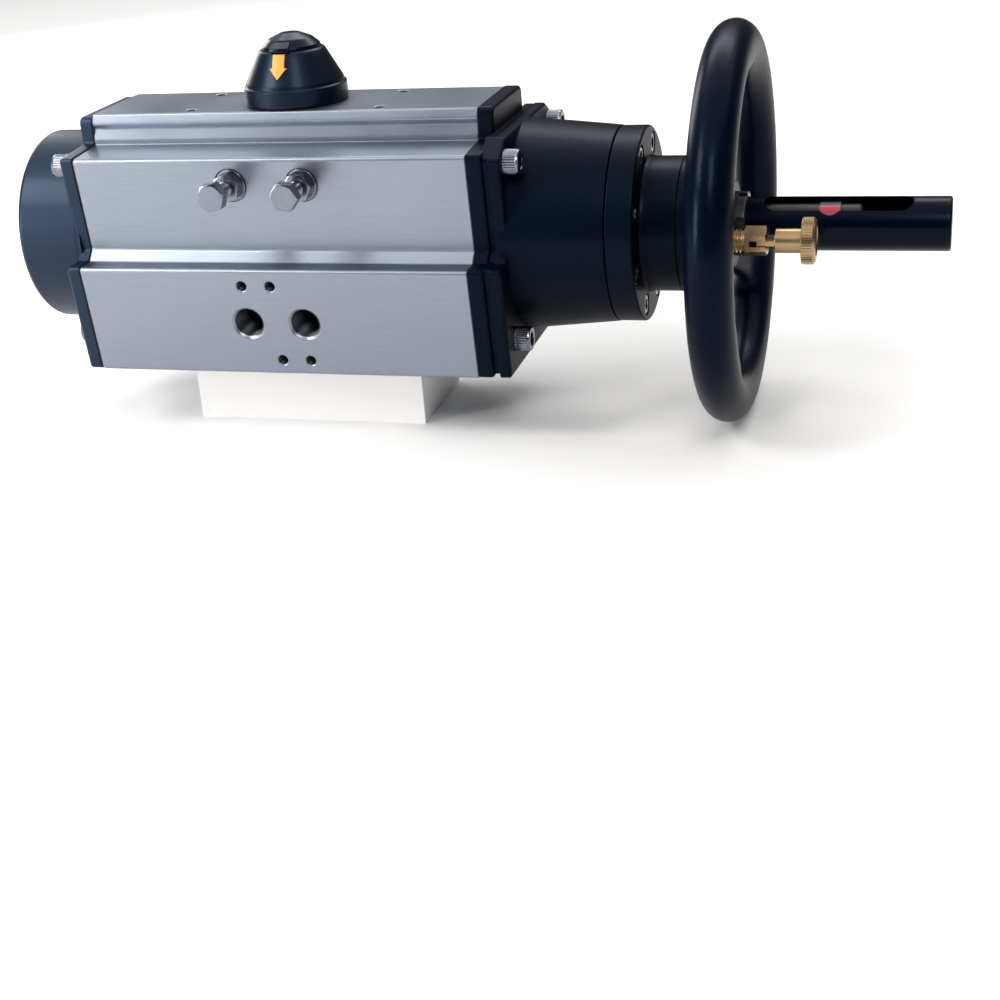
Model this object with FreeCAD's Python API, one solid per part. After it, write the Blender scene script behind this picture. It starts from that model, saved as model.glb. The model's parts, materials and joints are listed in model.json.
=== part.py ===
import FreeCAD, Part
import math
import os

# Rotary pneumatic actuator, spring return, with a handwheel override.
# Frame: origin on the pinion axis at the bottom mounting face, +Z up,
# +X along the cylinder towards the handwheel, -Y towards the air ports.
# All sizes are in millimetres and angles in degrees.

V = FreeCAD.Vector
ORIGIN = V(0, 0, 0)
X_AXIS = V(1, 0, 0)
Y_AXIS = V(0, 1, 0)
Z_AXIS = V(0, 0, 1)

# ---- Clearances ----
running_clearance = 0.05     # shaft in its bush, radial
spindle_clearance = 0.08     # spindle in the cover, radial
thread_clearance = 0.03      # screw shank in its tapped hole, radial
seat_gap = 0.05              # parts of one assembly that sit in a bore
seal_clearance = 0.05        # seal ring to the bore it runs in
loose_gap = 0.3              # faces of different moving bodies

# ---- Housing ----
body_length = 162.0
body_height = 100.0
bore_radius = 35.0
bore_height = 49.4           # cylinder axis above the mounting face
neck_half_width = 22.0
neck_groove_drop = 4.2       # groove top below the top face
neck_groove_height = 3.8
neck_groove_depth = 1.0
neck_height = 12.0
shoulder_half_width = 43.0
shoulder_drop = 1.3
waist_half_width = 39.2
waist_height = 49.2
step_half_width = 43.2
step_height = 45.0
skirt_half_width = 52.0
foot_half_width = 46.5
edge_round = 1.6

# ---- Air ports and solenoid pad on the lower front face ----
pad_height = 22.0
port_spacing = 24.0
port_radius = 5.9
port_chamfer = 0.9
port_depth = 14.0
pad_hole_radius = 2.1
pad_hole_depth = 10.0
pad_row_offset = 16.0
gallery_radius = 2.2
gallery_height = 31.5
gallery_offset = 41.0
channel_radius = 2.5

# ---- Accessory holes in the top face ----
top_spacing_x = 80.0
top_spacing_y = 30.0
top_hole_radius = 2.1
top_hole_depth = 8.0

# ---- Valve flange on the bottom face ----
small_circle = 50.0
small_tap_radius = 2.5
small_tap_depth = 11.0
large_circle = 70.0
large_tap_radius = 3.4
large_tap_depth = 13.0

# ---- End plates and gaskets ----
gasket_thickness = 0.5
plate_overhang = 0.4
plate_lift = 0.5             # plates stay above the mounting face
left_neck_drop = 0.9         # the left plate's top stays below the top face
plate_edge_round = 1.4
end_screw_half_spacing = 35.0
end_screw_drop = 17.5        # upper screws below the top face
end_screw_bottom = 13.0
end_screw_diameter = 6.0
end_screw_grip = 12.0        # thread length in the body

# ---- Left end cap ----
left_plate_thickness = 5.5
left_pot_radius = 39.4
left_pot_inner_radius = 34.0
left_pot_length = 27.3
left_pot_floor = 3.5

# ---- Right side: plate, bonnet, cover ----
right_plate_thickness = 6.1
right_groove_width = 2.3
right_groove_depth = 1.6
bonnet_flange_thickness = 4.7
bonnet_flange_drop = 9.0
bonnet_flange_top_half_width = 32.0
bonnet_corner_drop = 15.0
bonnet_root_radius = 41.6
bonnet_tip_radius = 38.2
bonnet_length = 36.7
bonnet_bore_radius = 34.0
bonnet_seat_radius = 26.0
bonnet_seat_thickness = 10.3
cover_radius = 38.0
cover_thickness = 10.5
cover_gap = 0.3
cover_register_length = 4.3
cover_screw_circle = 31.6
cover_screw_count = 8
cover_screw_diameter = 5.0
cover_screw_length = 14.0
cover_screw_recess = 0.3     # heads stay below the face
cover_screw_pocket_radius = 4.25

# ---- Neck with the drive sleeve's bearings ----
neck_radius = 26.2
neck_length = 14.4
bearing_bore_radius = 20.0
bearing_start = 1.9          # from the cover's outer face
bearing_washer_thickness = 3.0
bearing_washer_radius = 19.7
thrust_play = 0.1            # each side of the sleeve flange
sleeve_flange_radius = 19.4
sleeve_flange_thickness = 6.0
retainer_thickness = 5.0
retainer_screw_count = 4
retainer_screw_diameter = 4.0
retainer_screw_grip = 6.0
countersink_depth = 2.2
countersink_radius = 3.3
lock_circle_radius = 23.8
lock_hole_radius = 1.6
lock_hole_depth = 3.5
lock_hole_count = 4

# ---- Pinion and racks ----
piston_stroke = 26.0
quarter_turn = math.pi / 2
pitch_radius = piston_stroke / quarter_turn
tooth_count = 16
pressure_angle = 20.0
backlash = 0.2
rack_addendum_share = 0.9
gear_bottom = 33.0
gear_top = 67.0
lower_journal_radius = 18.9
lower_journal_bottom = 0.8
lower_journal_top = 14.0
lower_bush_bottom = 6.0
bush_wall = 1.5
pinion_neck_radius = 15.0
upper_shaft_radius = 10.5
upper_bush_length = 10.0
upper_bush_setback = 4.0     # from the top face
pinion_rise = 8.0            # shaft end above the top face
top_slot_width = 4.0         # cross slot that drives the indicator
top_slot_depth = 3.0
washer_width = 5.5           # washer under the clip, past the shaft
clip_thickness = 1.4
clip_opening = 6.0
clip_groove_depth = 1.0
socket_width = 17.0
socket_depth = 19.0
socket_corner_round = 0.8
ring_section_radius = 1.2

# ---- Travel stop ----
stop_bolt_offset = 14.8
stop_bolt_height = 76.0
stop_bolt_diameter = 6.0
stop_tip = 8.0               # distance of the bolt tips from the axis plane
stop_seat = 41.0             # spot face the washer rests on
stop_washer_radius = 6.2
stop_washer_thickness = 1.6
stop_nut_width = 10.0
stop_nut_thickness = 5.6
stop_free_shank = 8.8
stop_head_thickness = 5.0
cam_bottom = 69.0
cam_top = 78.0
cam_radius = 19.5
cam_hub_radius = 13.2
cam_flat = 8.8
cam_pocket_gap = 0.2         # room cut for the cam where the cylinder is small

# ---- Pistons ----
piston_inner_face = 40.0
piston_thickness = 12.0
piston_clearance = 0.4       # disc to the cylinder, radial
piston_ring_position = 8.5
piston_ring_groove = 3.0
piston_ring_section = 1.35
guide_position = 3.5
guide_width = 4.0
guide_thickness = 1.5
guide_split = 3.0
rack_reach = 37.5            # how far a rack passes the pinion at rest
rack_half_height = 14.0
rack_corner_gap = 2.7975     # bar's rear corners to the cylinder
rack_pad_half_height = 8.0
rack_pad_length = 40.0
rack_pad_clearance = 0.1
rack_pad_inset = 6.0

# ---- Return springs ----
spring_wire = 4.0
left_spring_turns = 5.5
right_spring_turns = 7.5

# ---- Lifting cage and spindle ----
cage_radius = 15.5
cage_bore_radius = 12.0
cage_flange_radius = 21.0
cage_flange_thickness = 4.0
cage_screw_circle = 18.2
cage_screw_diameter = 3.0
cage_screw_grip = 6.0
cage_length = 38.0
cage_ring_thickness = 4.0
cage_window_width = 9.0
spindle_radius = 8.0
spindle_head_radius = 11.5
spindle_head_thickness = 6.0
spindle_tail_step = 0.4
spindle_thread_reach = 4.0   # past the drive sleeve at rest
spindle_tail_length = 48.0
key_width = 4.0
key_depth = 2.2
key_height = 5.2             # keyway floor to the top of the key
key_floor_gap = 0.15
marker_setback = 16.0        # from the spindle's end
marker_width = 8.0
marker_clearance = 0.4

# ---- Handwheel ----
rim_offset = 12.6            # rim plane from the hub's back face
rim_circle_radius = 67.2
rim_half_width = 8.8
rim_half_height = 9.7
hub_gap = 1.0
hub_radius = 17.0
web_radius = 31.0
web_thickness = 7.0
hub_length = 13.5
spoke_count = 3
spoke_half_width = 10.0
spoke_thickness = 7.0
sleeve_spigot_radius = 12.0
sleeve_journal_radius = 14.0
sleeve_spigot_length = 9.5
hub_key_width = 4.0
hub_key_half_height = 2.0
lock_nut_thickness = 4.6
lock_nut_wall = 2.1
tube_clearance = 0.7         # spindle to the tube's bore, radial
tube_wall = 1.6
tube_length = 82.4
tube_slot_offset = 15.0      # from the tube's inner end
tube_slot_length = 56.0
tube_slot_width = 10.0
tube_slot_angle = 72.0       # from the front, upwards
sight_window_radius = 4.4
sight_window_offset = 40.0
sight_window_angle = 58.0
plug_thickness = 2.5
plug_depth = 3.0

# ---- Locking plunger ----
plunger_boss_radius = 8.0
plunger_boss_length = 13.5
plunger_thread_radius = 4.5
plunger_thread_grip = 10.0   # thread inside the boss
plunger_neck_length = 6.2
plunger_hex_length = 8.8
plunger_hex_width = 10.0
plunger_chamber_radius = 3.4
plunger_chamber_floor = 2.0
plunger_chamber_length = 15.0
plunger_pin_radius = 1.5
plunger_tip_gap = 0.5
plunger_inward_travel = 2.5
plunger_collar_radius = 3.2
plunger_collar_length = 1.5
plunger_slot_width = 2.4
plunger_slot_depth = 6.5
plunger_stop_gap = 0.2       # left at the seated end of travel
plunger_blade_thickness = 2.1
plunger_blade_width = 8.6
plunger_blade_length = 12.8
plunger_sleeve_radius = 4.6
plunger_sleeve_length = 9.9
plunger_knob_length = 5.2
plunger_knob_radius = 8.75
plunger_clearance = 0.1      # pin in its bores, radial
plunger_collar_gap = 0.2
thread_groove_count = 3
thread_groove_start = 1.2
thread_groove_pitch = 1.6
thread_groove_width = 0.7
thread_groove_depth = 0.5
plunger_spring_wire = 0.6
plunger_spring_turns = 8.0
plunger_knob_bevel = 0.9
knurl_count = 36
knurl_width = 0.5
knurl_depth = 0.35

# ---- Position indicator ----
dome_radius = 20.7
dome_gap = 0.4
dome_ring_height = 7.0
dome_height = 20.6
dome_cone_top_radius = 13.4
dome_cavity_gap = 1.6
dome_cavity_height = 5.2
dome_floor_gap = 0.2         # above the pinion's end
dome_floor_thickness = 3.0
dome_well_radius = 9.0
tongue_reach = 7.0           # half length of the tongue in the pinion's slot
indicator_screw_diameter = 6.0
indicator_screw_grip = 12.0
cap_sphere_radius = 14.2
cap_rim_radius = 13.2
cap_height = 9.0
cap_drop = 3.0
cap_plug_depth = 3.0
arrow_setback = 9.4          # arrow tip below the cone's top
arrow_length = 8.9
arrow_width = 7.0
arrow_shaft_width = 4.8
arrow_relief = 0.4
arrow_inset = 0.8

# ---- Derived places ----
body_end = body_length / 2
neck_groove_top = body_height - neck_groove_drop
shoulder_height = body_height - neck_height
upper_bush_top = body_height - upper_bush_setback
upper_bush_bottom = upper_bush_top - upper_bush_length
pinion_top = body_height + pinion_rise
dome_bottom = body_height + dome_gap
dome_cone_top = dome_bottom + dome_height
dome_floor = pinion_top + dome_floor_gap
arrow_bottom = dome_cone_top - arrow_setback
end_screw_top = body_height - end_screw_drop
bonnet_flange_height = body_height - bonnet_flange_drop
bonnet_corner_height = body_height - bonnet_corner_drop
plate_start = body_end + gasket_thickness
right_plate_end = plate_start + right_plate_thickness + right_groove_width
bonnet_flange_end = right_plate_end + bonnet_flange_thickness
bonnet_end = bonnet_flange_end + bonnet_length
cover_start = bonnet_end + cover_gap
cover_face = cover_start + cover_thickness
cover_screw_seat = cover_face - cover_screw_diameter - cover_screw_recess
neck_end = cover_face + neck_length
retainer_end = neck_end + retainer_thickness
hub_back = retainer_end + hub_gap
hub_front = hub_back + hub_length
rim_plane = hub_back + rim_offset
sleeve_end = hub_back + sleeve_spigot_length
tube_end = sleeve_end + tube_length
tube_slot_start = sleeve_end + tube_slot_offset
tube_slot_end = tube_slot_start + tube_slot_length
sight_window_place = sleeve_end + sight_window_offset
thread_end = sleeve_end + spindle_thread_reach
spindle_end = thread_end + spindle_tail_length
marker_start = spindle_end - marker_setback
plunger_boss_front = hub_back + plunger_boss_length
plunger_thread_start = plunger_boss_front - plunger_thread_grip
plunger_hex_start = plunger_boss_front + plunger_neck_length
plunger_hex_end = plunger_hex_start + plunger_hex_length
plunger_chamber_start = plunger_thread_start + plunger_chamber_floor
plunger_chamber_end = plunger_chamber_start + plunger_chamber_length
plunger_slot_floor = plunger_hex_end - plunger_slot_depth
plunger_blade_start = plunger_slot_floor + plunger_inward_travel + plunger_stop_gap
plunger_blade_end = plunger_blade_start + plunger_blade_length
plunger_sleeve_start = plunger_hex_end + plunger_inward_travel + plunger_stop_gap
plunger_knob_start = plunger_sleeve_start + plunger_sleeve_length
plunger_knob_end = plunger_knob_start + plunger_knob_length
spindle_tail_radius = spindle_radius - spindle_tail_step
tube_bore_radius = spindle_radius + tube_clearance
tube_radius = tube_bore_radius + tube_wall
marker_radius = tube_bore_radius - marker_clearance
lock_nut_radius = tube_radius + lock_nut_wall
piston_outer_face = piston_inner_face + piston_thickness
piston_radius = bore_radius - piston_clearance
rack_back = math.sqrt((bore_radius - rack_corner_gap) ** 2 - rack_half_height ** 2)
spring_radius = (cage_flange_radius + bore_radius) / 2
module = 2 * pitch_radius / tooth_count
gear_tip_radius = pitch_radius + module
gear_root_radius = pitch_radius - 1.25 * module
base_radius = pitch_radius * math.cos(math.radians(pressure_angle))
rack_pitch = math.pi * module
lower_bush_radius = lower_journal_radius + running_clearance + bush_wall
upper_bush_radius = upper_shaft_radius + running_clearance + bush_wall
washer_radius = upper_shaft_radius + washer_width
dome_cavity_radius = washer_radius + dome_cavity_gap
cage_front = piston_outer_face + cage_length
spindle_head_end = cage_front - cage_ring_thickness - loose_gap
spindle_head_start = spindle_head_end - spindle_head_thickness
skirt_slope = (skirt_half_width - foot_half_width) / step_height
pad_half_width = foot_half_width + skirt_slope * pad_height
pad_tilt = math.atan(skirt_slope)


# ---- Small building helpers ----
def cylinder(radius, start, length, axis=X_AXIS):
    return Part.makeCylinder(radius, length, start, axis)


def along_x(radius, x0, x1, y=0.0, z=bore_height):
    return cylinder(radius, V(x0, y, z), x1 - x0)


def along_z(radius, z0, z1, x=0.0, y=0.0):
    return cylinder(radius, V(x, y, z0), z1 - z0, Z_AXIS)


def ring_x(outer, inner, x0, x1):
    return along_x(outer, x0, x1).cut(along_x(inner, x0 - 1, x1 + 1))


def ring_z(outer, inner, z0, z1):
    return along_z(outer, z0, z1).cut(along_z(inner, z0 - 1, z1 + 1))


def box(x0, x1, y0, y1, z0, z1):
    return Part.makeBox(x1 - x0, y1 - y0, z1 - z0, V(x0, y0, z0))


def polygon_face(points):
    return Part.Face(Part.makePolygon(points + [points[0]]))


def turned_x(shape, angle):
    """The shape turned about the cylinder axis."""
    copy = shape.copy()
    copy.rotate(V(0, 0, bore_height), X_AXIS, angle)
    return copy


def turned_z(shape, angle):
    copy = shape.copy()
    copy.rotate(ORIGIN, Z_AXIS, angle)
    return copy


def hexagon_prism(across_flats, start, length, axis, quarter=0.0):
    """A six-sided prism whose axis runs through start along axis."""
    corner = across_flats / math.sqrt(3)
    points = []
    for k in range(6):
        angle = math.radians(60 * k + quarter)
        points.append(V(corner * math.cos(angle), corner * math.sin(angle), 0))
    prism = polygon_face(points).extrude(V(0, 0, length))
    prism.Placement = FreeCAD.Placement(start, FreeCAD.Rotation(Z_AXIS, axis))
    return prism


def socket_screw(diameter, length, seat, axis):
    """A socket head screw whose head rests at seat and whose shank runs along axis."""
    head_height = diameter
    back = seat - axis * head_height
    head = Part.makeCylinder(0.8 * diameter, head_height, back, axis)
    head = head.makeChamfer(0.08 * diameter, [outer_circle(head, back)])
    shank = Part.makeCylinder(diameter / 2, length, seat, axis)
    socket = hexagon_prism(0.83 * diameter, back, 0.55 * diameter, axis)
    return head.fuse(shank).removeSplitter().cut(socket)


def outer_circle(shape, centre):
    """The shape's circular edge whose centre lies at the given point."""
    for edge in shape.Edges:
        curve = edge.Curve
        if isinstance(curve, Part.Circle) and curve.Center.distanceToPoint(centre) < 1e-6:
            return edge
    raise ValueError("no circle there")


def rounded_wire(corners):
    """A closed wire in the YZ plane through (y, z, radius) corners, rounded by arcs."""
    edges = []
    starts = []
    ends = []
    middles = []
    count = len(corners)
    for k in range(count):
        y, z, radius = corners[k]
        here = V(0, y, z)
        before = V(0, corners[k - 1][0], corners[k - 1][1]) - here
        after = V(0, corners[(k + 1) % count][0], corners[(k + 1) % count][1]) - here
        half_angle = before.getAngle(after) / 2
        limit = 0.45 * min(before.Length, after.Length) * math.tan(half_angle)
        radius = min(radius, limit)
        before.normalize()
        after.normalize()
        tangent = radius / math.tan(half_angle)
        bisector = before + after
        bisector.normalize()
        reach = radius / math.sin(half_angle) - radius
        starts.append(here + before * tangent)
        ends.append(here + after * tangent)
        middles.append(here + bisector * reach)
    for k in range(count):
        edges.append(Part.Arc(starts[k], middles[k], ends[k]).toShape())
        edges.append(Part.LineSegment(ends[k], starts[(k + 1) % count]).toShape())
    return Part.Wire(edges)


def mirrored(half):
    """A closed list of corners from the +Y half, listed from the top down."""
    other = [(-y, z, r) for (y, z, r) in reversed(half)]
    return half + other


def slab(corners, x0, x1):
    face = Part.Face(rounded_wire(corners))
    face.translate(V(x0, 0, 0))
    return face.extrude(V(x1 - x0, 0, 0))


def helix_spring(radius, wire, turns, x0, x1, y, z):
    """A coil spring along X whose outer turns end at x0 and x1."""
    height = x1 - x0 - wire
    pitch = height / turns
    path = Part.makeHelix(pitch, height, radius)
    along_wire = V(0, 2 * math.pi * radius, pitch)
    circle = Part.makeCircle(wire / 2, V(radius, 0, 0), along_wire).Curve
    halves = [Part.Edge(circle, 0, math.pi), Part.Edge(circle, math.pi, 2 * math.pi)]
    section = Part.Wire(halves)
    coil = Part.Wire(path.Edges).makePipeShell([section], True, True)
    coil.Placement = FreeCAD.Placement(V(x0 + wire / 2, y, z), FreeCAD.Rotation(Z_AXIS, X_AXIS))
    return coil


# ---- Housing section ----
def side_corners(grow, foot):
    """The stepped side of the section, from the shoulder down to the foot."""
    return [
        (shoulder_half_width + grow, shoulder_height - shoulder_drop + grow, edge_round),
        (waist_half_width + grow, waist_height, edge_round),
        (step_half_width + grow, step_height + grow, edge_round),
        (skirt_half_width + grow, step_height + grow, edge_round),
        (foot_half_width + grow + skirt_slope * foot, foot, edge_round),
    ]


def body_corners():
    groove_floor = neck_half_width - neck_groove_depth
    groove_bottom = neck_groove_top - neck_groove_height
    neck = [
        (neck_half_width, body_height, edge_round),
        (neck_half_width, neck_groove_top, 0.4),
        (groove_floor, neck_groove_top - 0.8, 0.4),
        (groove_floor, groove_bottom + 0.8, 0.4),
        (neck_half_width, groove_bottom, 0.4),
        (neck_half_width, shoulder_height, edge_round),
    ]
    return mirrored(neck + side_corners(0.0, 0.0))


def plate_corners(grow, top_drop=0.0):
    neck = [
        (neck_half_width + grow, body_height + grow - top_drop, 3.0),
        (neck_half_width + grow, shoulder_height + grow, edge_round),
    ]
    return mirrored(neck + side_corners(grow, plate_lift))


def bonnet_flange_corners():
    top = [(bonnet_flange_top_half_width, bonnet_flange_height, 2.0)]
    side = side_corners(plate_overhang, plate_lift)
    corner = (side[0][0], bonnet_corner_height, edge_round)
    return mirrored(top + [corner] + side[1:])


def end_screw_clearances(x0, x1):
    radius = end_screw_diameter / 2 + loose_gap
    return [along_x(radius, x0, x1, y, z) for y, z in end_screw_places()]


def end_screw_places():
    places = []
    for y in (-end_screw_half_spacing, end_screw_half_spacing):
        for z in (end_screw_bottom, end_screw_top):
            places.append((y, z))
    return places


# ---- Housing ----
def pad_frame():
    """Centre, outward normal and upward direction of the sloping solenoid pad."""
    centre = V(0, -pad_half_width, pad_height)
    normal = V(0, -math.cos(pad_tilt), -math.sin(pad_tilt))
    up = V(0, -math.sin(pad_tilt), math.cos(pad_tilt))
    return centre, normal, up


def port_cuts():
    centre, normal, up = pad_frame()
    half = port_spacing / 2
    cuts = []
    for side in (-1, 1):
        mouth = centre + X_AXIS * (side * half)
        inward = normal * -1
        cuts.append(Part.makeCylinder(port_radius, port_depth + 1, mouth + normal, inward))
        cone = Part.makeCone(port_radius + 2 * port_chamfer, port_radius, 2 * port_chamfer,
                             mouth + normal * port_chamfer, inward)
        cuts.append(cone)
    for x, rise in ((-half, 1), (0, 1), (0, -1), (half, -1)):
        mouth = centre + X_AXIS * x + up * (rise * pad_row_offset)
        cuts.append(Part.makeCylinder(pad_hole_radius, pad_hole_depth + 1, mouth + normal, normal * -1))
    return cuts


def air_channels():
    half = port_spacing / 2
    to_chamber = cylinder(channel_radius, V(-half, -gallery_offset, pad_height), gallery_offset, Y_AXIS)
    riser = along_z(gallery_radius, pad_height, gallery_height, half, -gallery_offset)
    gallery = along_x(gallery_radius, -body_end - 1, body_end + 1, -gallery_offset, gallery_height)
    return [to_chamber, riser, gallery]


def circle_holes(circle, radius, depth):
    holes = []
    for k in range(4):
        angle = math.radians(45 + 90 * k)
        x = circle / 2 * math.cos(angle)
        y = circle / 2 * math.sin(angle)
        holes.append(along_z(radius, -1, depth, x, y))
    return holes


def top_holes():
    holes = []
    for x in (-top_spacing_x / 2, top_spacing_x / 2):
        for y in (-top_spacing_y / 2, top_spacing_y / 2):
            holes.append(along_z(top_hole_radius, body_height - top_hole_depth, body_height + 1, x, y))
    return holes


def end_screw_holes():
    holes = []
    radius = end_screw_diameter / 2 + thread_clearance
    depth = end_screw_grip + 3
    for y, z in end_screw_places():
        holes.append(along_x(radius, body_end - depth, body_end + 1, y, z))
        holes.append(along_x(radius, -body_end - 1, -body_end + depth, y, z))
    return holes


def stop_holes():
    holes = []
    radius = stop_bolt_diameter / 2 + thread_clearance
    for x in (-stop_bolt_offset, stop_bolt_offset):
        start = V(x, -shoulder_half_width - 5, stop_bolt_height)
        spot = shoulder_half_width + 5 - stop_seat
        holes.append(cylinder(radius, start, shoulder_half_width + 5, Y_AXIS))
        holes.append(cylinder(stop_washer_radius + 0.6, start, spot, Y_AXIS))
    return holes


def pinion_bores():
    lower = along_z(lower_journal_radius + running_clearance, -1, bore_height)
    lower_seat = along_z(lower_bush_radius + seat_gap, lower_bush_bottom, bore_height)
    upper = along_z(upper_shaft_radius + 2 * running_clearance, bore_height, body_height + 1)
    upper_seat = along_z(upper_bush_radius + seat_gap, bore_height, upper_bush_top + seat_gap)
    cam_room = along_z(cam_radius + cam_pocket_gap, bore_height, cam_top + cam_pocket_gap)
    return [lower, lower_seat, upper, upper_seat, cam_room]


def housing_body():
    body = slab(body_corners(), -body_end, body_end)
    cuts = [along_x(bore_radius, -body_end - 1, body_end + 1)]
    cuts += pinion_bores() + port_cuts() + air_channels() + top_holes()
    cuts += circle_holes(small_circle, small_tap_radius, small_tap_depth)
    cuts += circle_holes(large_circle, large_tap_radius, large_tap_depth)
    cuts += end_screw_holes() + stop_holes()
    return body.cut(cuts)


def gasket(side):
    x0 = body_end if side > 0 else -plate_start
    top_drop = 0.0 if side > 0 else left_neck_drop
    sheet = slab(plate_corners(0.0, top_drop), x0, x0 + gasket_thickness)
    cuts = [along_x(bore_radius, x0 - 1, x0 + 2)]
    cuts.append(along_x(gallery_radius, x0 - 1, x0 + 2, -gallery_offset, gallery_height))
    cuts += end_screw_clearances(x0 - 1, x0 + 2)
    return sheet.cut(cuts)


def air_pocket(x0, x1):
    """A shallow channel from the gallery to the cylinder end chamber."""
    reach = math.hypot(gallery_offset, bore_height - gallery_height)
    pocket = box(x0, x1, -reach, -left_pot_inner_radius + 2,
                 bore_height - gallery_radius, bore_height + gallery_radius)
    angle = math.degrees(math.atan2(bore_height - gallery_height, gallery_offset))
    return turned_x(pocket, angle)


def face_rim(shape, x):
    """The outline edges of a slab that lie in its end face at x."""
    rim_edges = []
    for edge in shape.Edges:
        span = edge.BoundBox
        if abs(span.XMin - x) < 1e-6 and span.XLength < 1e-6:
            rim_edges.append(edge)
    return rim_edges


def left_end_cap():
    face = -plate_start
    plate_back = face - left_plate_thickness
    pot_end = plate_back - left_pot_length
    plate = slab(plate_corners(plate_overhang, plate_overhang + left_neck_drop), plate_back, face)
    plate = plate.makeFillet(plate_edge_round, face_rim(plate, plate_back))
    pot = along_x(left_pot_radius, pot_end, face - 1)
    pot = pot.makeFillet(2.5, [outer_circle(pot, V(pot_end, 0, bore_height))])
    cuts = [along_x(left_pot_inner_radius, pot_end + left_pot_floor, face + 1)]
    cuts.append(air_pocket(face - 1.5, face + 1))
    cuts += end_screw_clearances(plate_back - 1, face + 1)
    return plate.fuse(pot).cut(cuts).removeSplitter()


def left_cap_screws():
    seat = -plate_start - left_plate_thickness
    length = left_plate_thickness + gasket_thickness + end_screw_grip
    screws = []
    for y, z in end_screw_places():
        screws.append(socket_screw(end_screw_diameter, length, V(seat, y, z), X_AXIS))
    return Part.makeCompound(screws)


def right_end_plate():
    step = plate_start + right_plate_thickness
    plate = slab(plate_corners(plate_overhang), plate_start, step)
    plate = plate.makeFillet(plate_edge_round, face_rim(plate, step))
    top_corners = bonnet_flange_corners()
    inset = [(y - math.copysign(right_groove_depth, y), z, r) for (y, z, r) in top_corners]
    inset = [(y, max(z, right_groove_depth), r) for (y, z, r) in inset]
    land = slab(inset, step, right_plate_end)
    cuts = [along_x(bonnet_bore_radius, plate_start - 1, right_plate_end + 1)]
    cuts.append(air_pocket(plate_start - 1, plate_start + 1.5))
    cuts += end_screw_clearances(plate_start - 1, right_plate_end + 1)
    return plate.fuse(land).cut(cuts).removeSplitter()


def bonnet():
    flange = slab(bonnet_flange_corners(), right_plate_end, bonnet_flange_end)
    flange = flange.makeFillet(plate_edge_round, face_rim(flange, bonnet_flange_end))
    barrel = Part.makeCone(bonnet_root_radius, bonnet_tip_radius, bonnet_length,
                           V(bonnet_flange_end, 0, bore_height), X_AXIS)
    seat_start = bonnet_end - bonnet_seat_thickness
    cuts = [along_x(bonnet_bore_radius, right_plate_end - 1, seat_start)]
    cuts.append(along_x(bonnet_seat_radius, seat_start - 1, bonnet_end + 1))
    cuts += end_screw_clearances(right_plate_end - 1, bonnet_flange_end + 1)
    radius = cover_screw_diameter / 2 + thread_clearance
    hole = along_x(radius, seat_start + 1, bonnet_end + 1, 0, bore_height + cover_screw_circle)
    for k in range(cover_screw_count):
        cuts.append(turned_x(hole, 360 * (k + 0.5) / cover_screw_count))
    return flange.fuse(barrel).cut(cuts).removeSplitter()


def bonnet_screws():
    length = bonnet_flange_end - body_end + end_screw_grip
    screws = []
    for y, z in end_screw_places():
        seat = V(bonnet_flange_end, y, z)
        screws.append(socket_screw(end_screw_diameter, length, seat, X_AXIS * -1))
    return Part.makeCompound(screws)


def cover():
    disc = along_x(cover_radius, cover_start, cover_face)
    disc = disc.makeFillet(0.8, [outer_circle(disc, V(cover_face, 0, bore_height))])
    register = along_x(bonnet_seat_radius - seat_gap, bonnet_end - cover_register_length, cover_start)
    neck = along_x(neck_radius, cover_face - 1, neck_end)
    spindle_bore = spindle_radius + spindle_clearance
    bearing = cover_face + bearing_start
    cuts = [along_x(spindle_bore, bonnet_end - cover_register_length - 1, neck_end)]
    cuts.append(along_x(sleeve_journal_radius + running_clearance, cover_face + 0.2, neck_end))
    cuts.append(along_x(bearing_bore_radius, bearing, neck_end + 1))
    cuts.append(key_pocket())
    height = bore_height + cover_screw_circle
    counterbore = along_x(cover_screw_pocket_radius, cover_screw_seat, cover_face + 1, 0, height)
    through = along_x(cover_screw_diameter / 2 + loose_gap, cover_start - 1, cover_face, 0, height)
    for k in range(cover_screw_count):
        angle = 360 * (k + 0.5) / cover_screw_count
        cuts.append(turned_x(counterbore, angle))
        cuts.append(turned_x(through, angle))
    cuts += retainer_screw_holes(neck_end - retainer_screw_grip - 2, neck_end + 1, thread_clearance)
    return disc.fuse([register, neck]).cut(cuts).removeSplitter()


def key_pocket():
    half = key_width / 2
    return box(cover_start, cover_face - 1, -half, half, bore_height, key_top())


def key_top():
    return bore_height + spindle_radius - key_depth + key_height


def spindle_key():
    half = key_width / 2 - seat_gap
    bottom = bore_height + spindle_radius - key_depth + key_floor_gap
    return box(cover_start + seat_gap, cover_face - 1 - seat_gap, -half, half, bottom, key_top() - seat_gap)


def cover_screws():
    seat = V(cover_screw_seat, 0, bore_height + cover_screw_circle)
    screw = socket_screw(cover_screw_diameter, cover_screw_length, seat, X_AXIS * -1)
    screws = []
    for k in range(cover_screw_count):
        screws.append(turned_x(screw, 360 * (k + 0.5) / cover_screw_count))
    return Part.makeCompound(screws)


def retainer_screw_holes(x0, x1, clearance):
    radius = retainer_screw_diameter / 2 + clearance
    hole = along_x(radius, x0, x1, 0, bore_height + retainer_screw_height())
    return [turned_x(hole, 45 + 360 * k / retainer_screw_count) for k in range(retainer_screw_count)]


def retainer_screw_height():
    """Radius of the circle the retainer screws sit on."""
    return (neck_radius + bearing_bore_radius) / 2


def screw_cone(x0, x1, small, large):
    cone = Part.makeCone(small, large, x1 - x0, V(x0, 0, bore_height + retainer_screw_height()), X_AXIS)
    return cone


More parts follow.
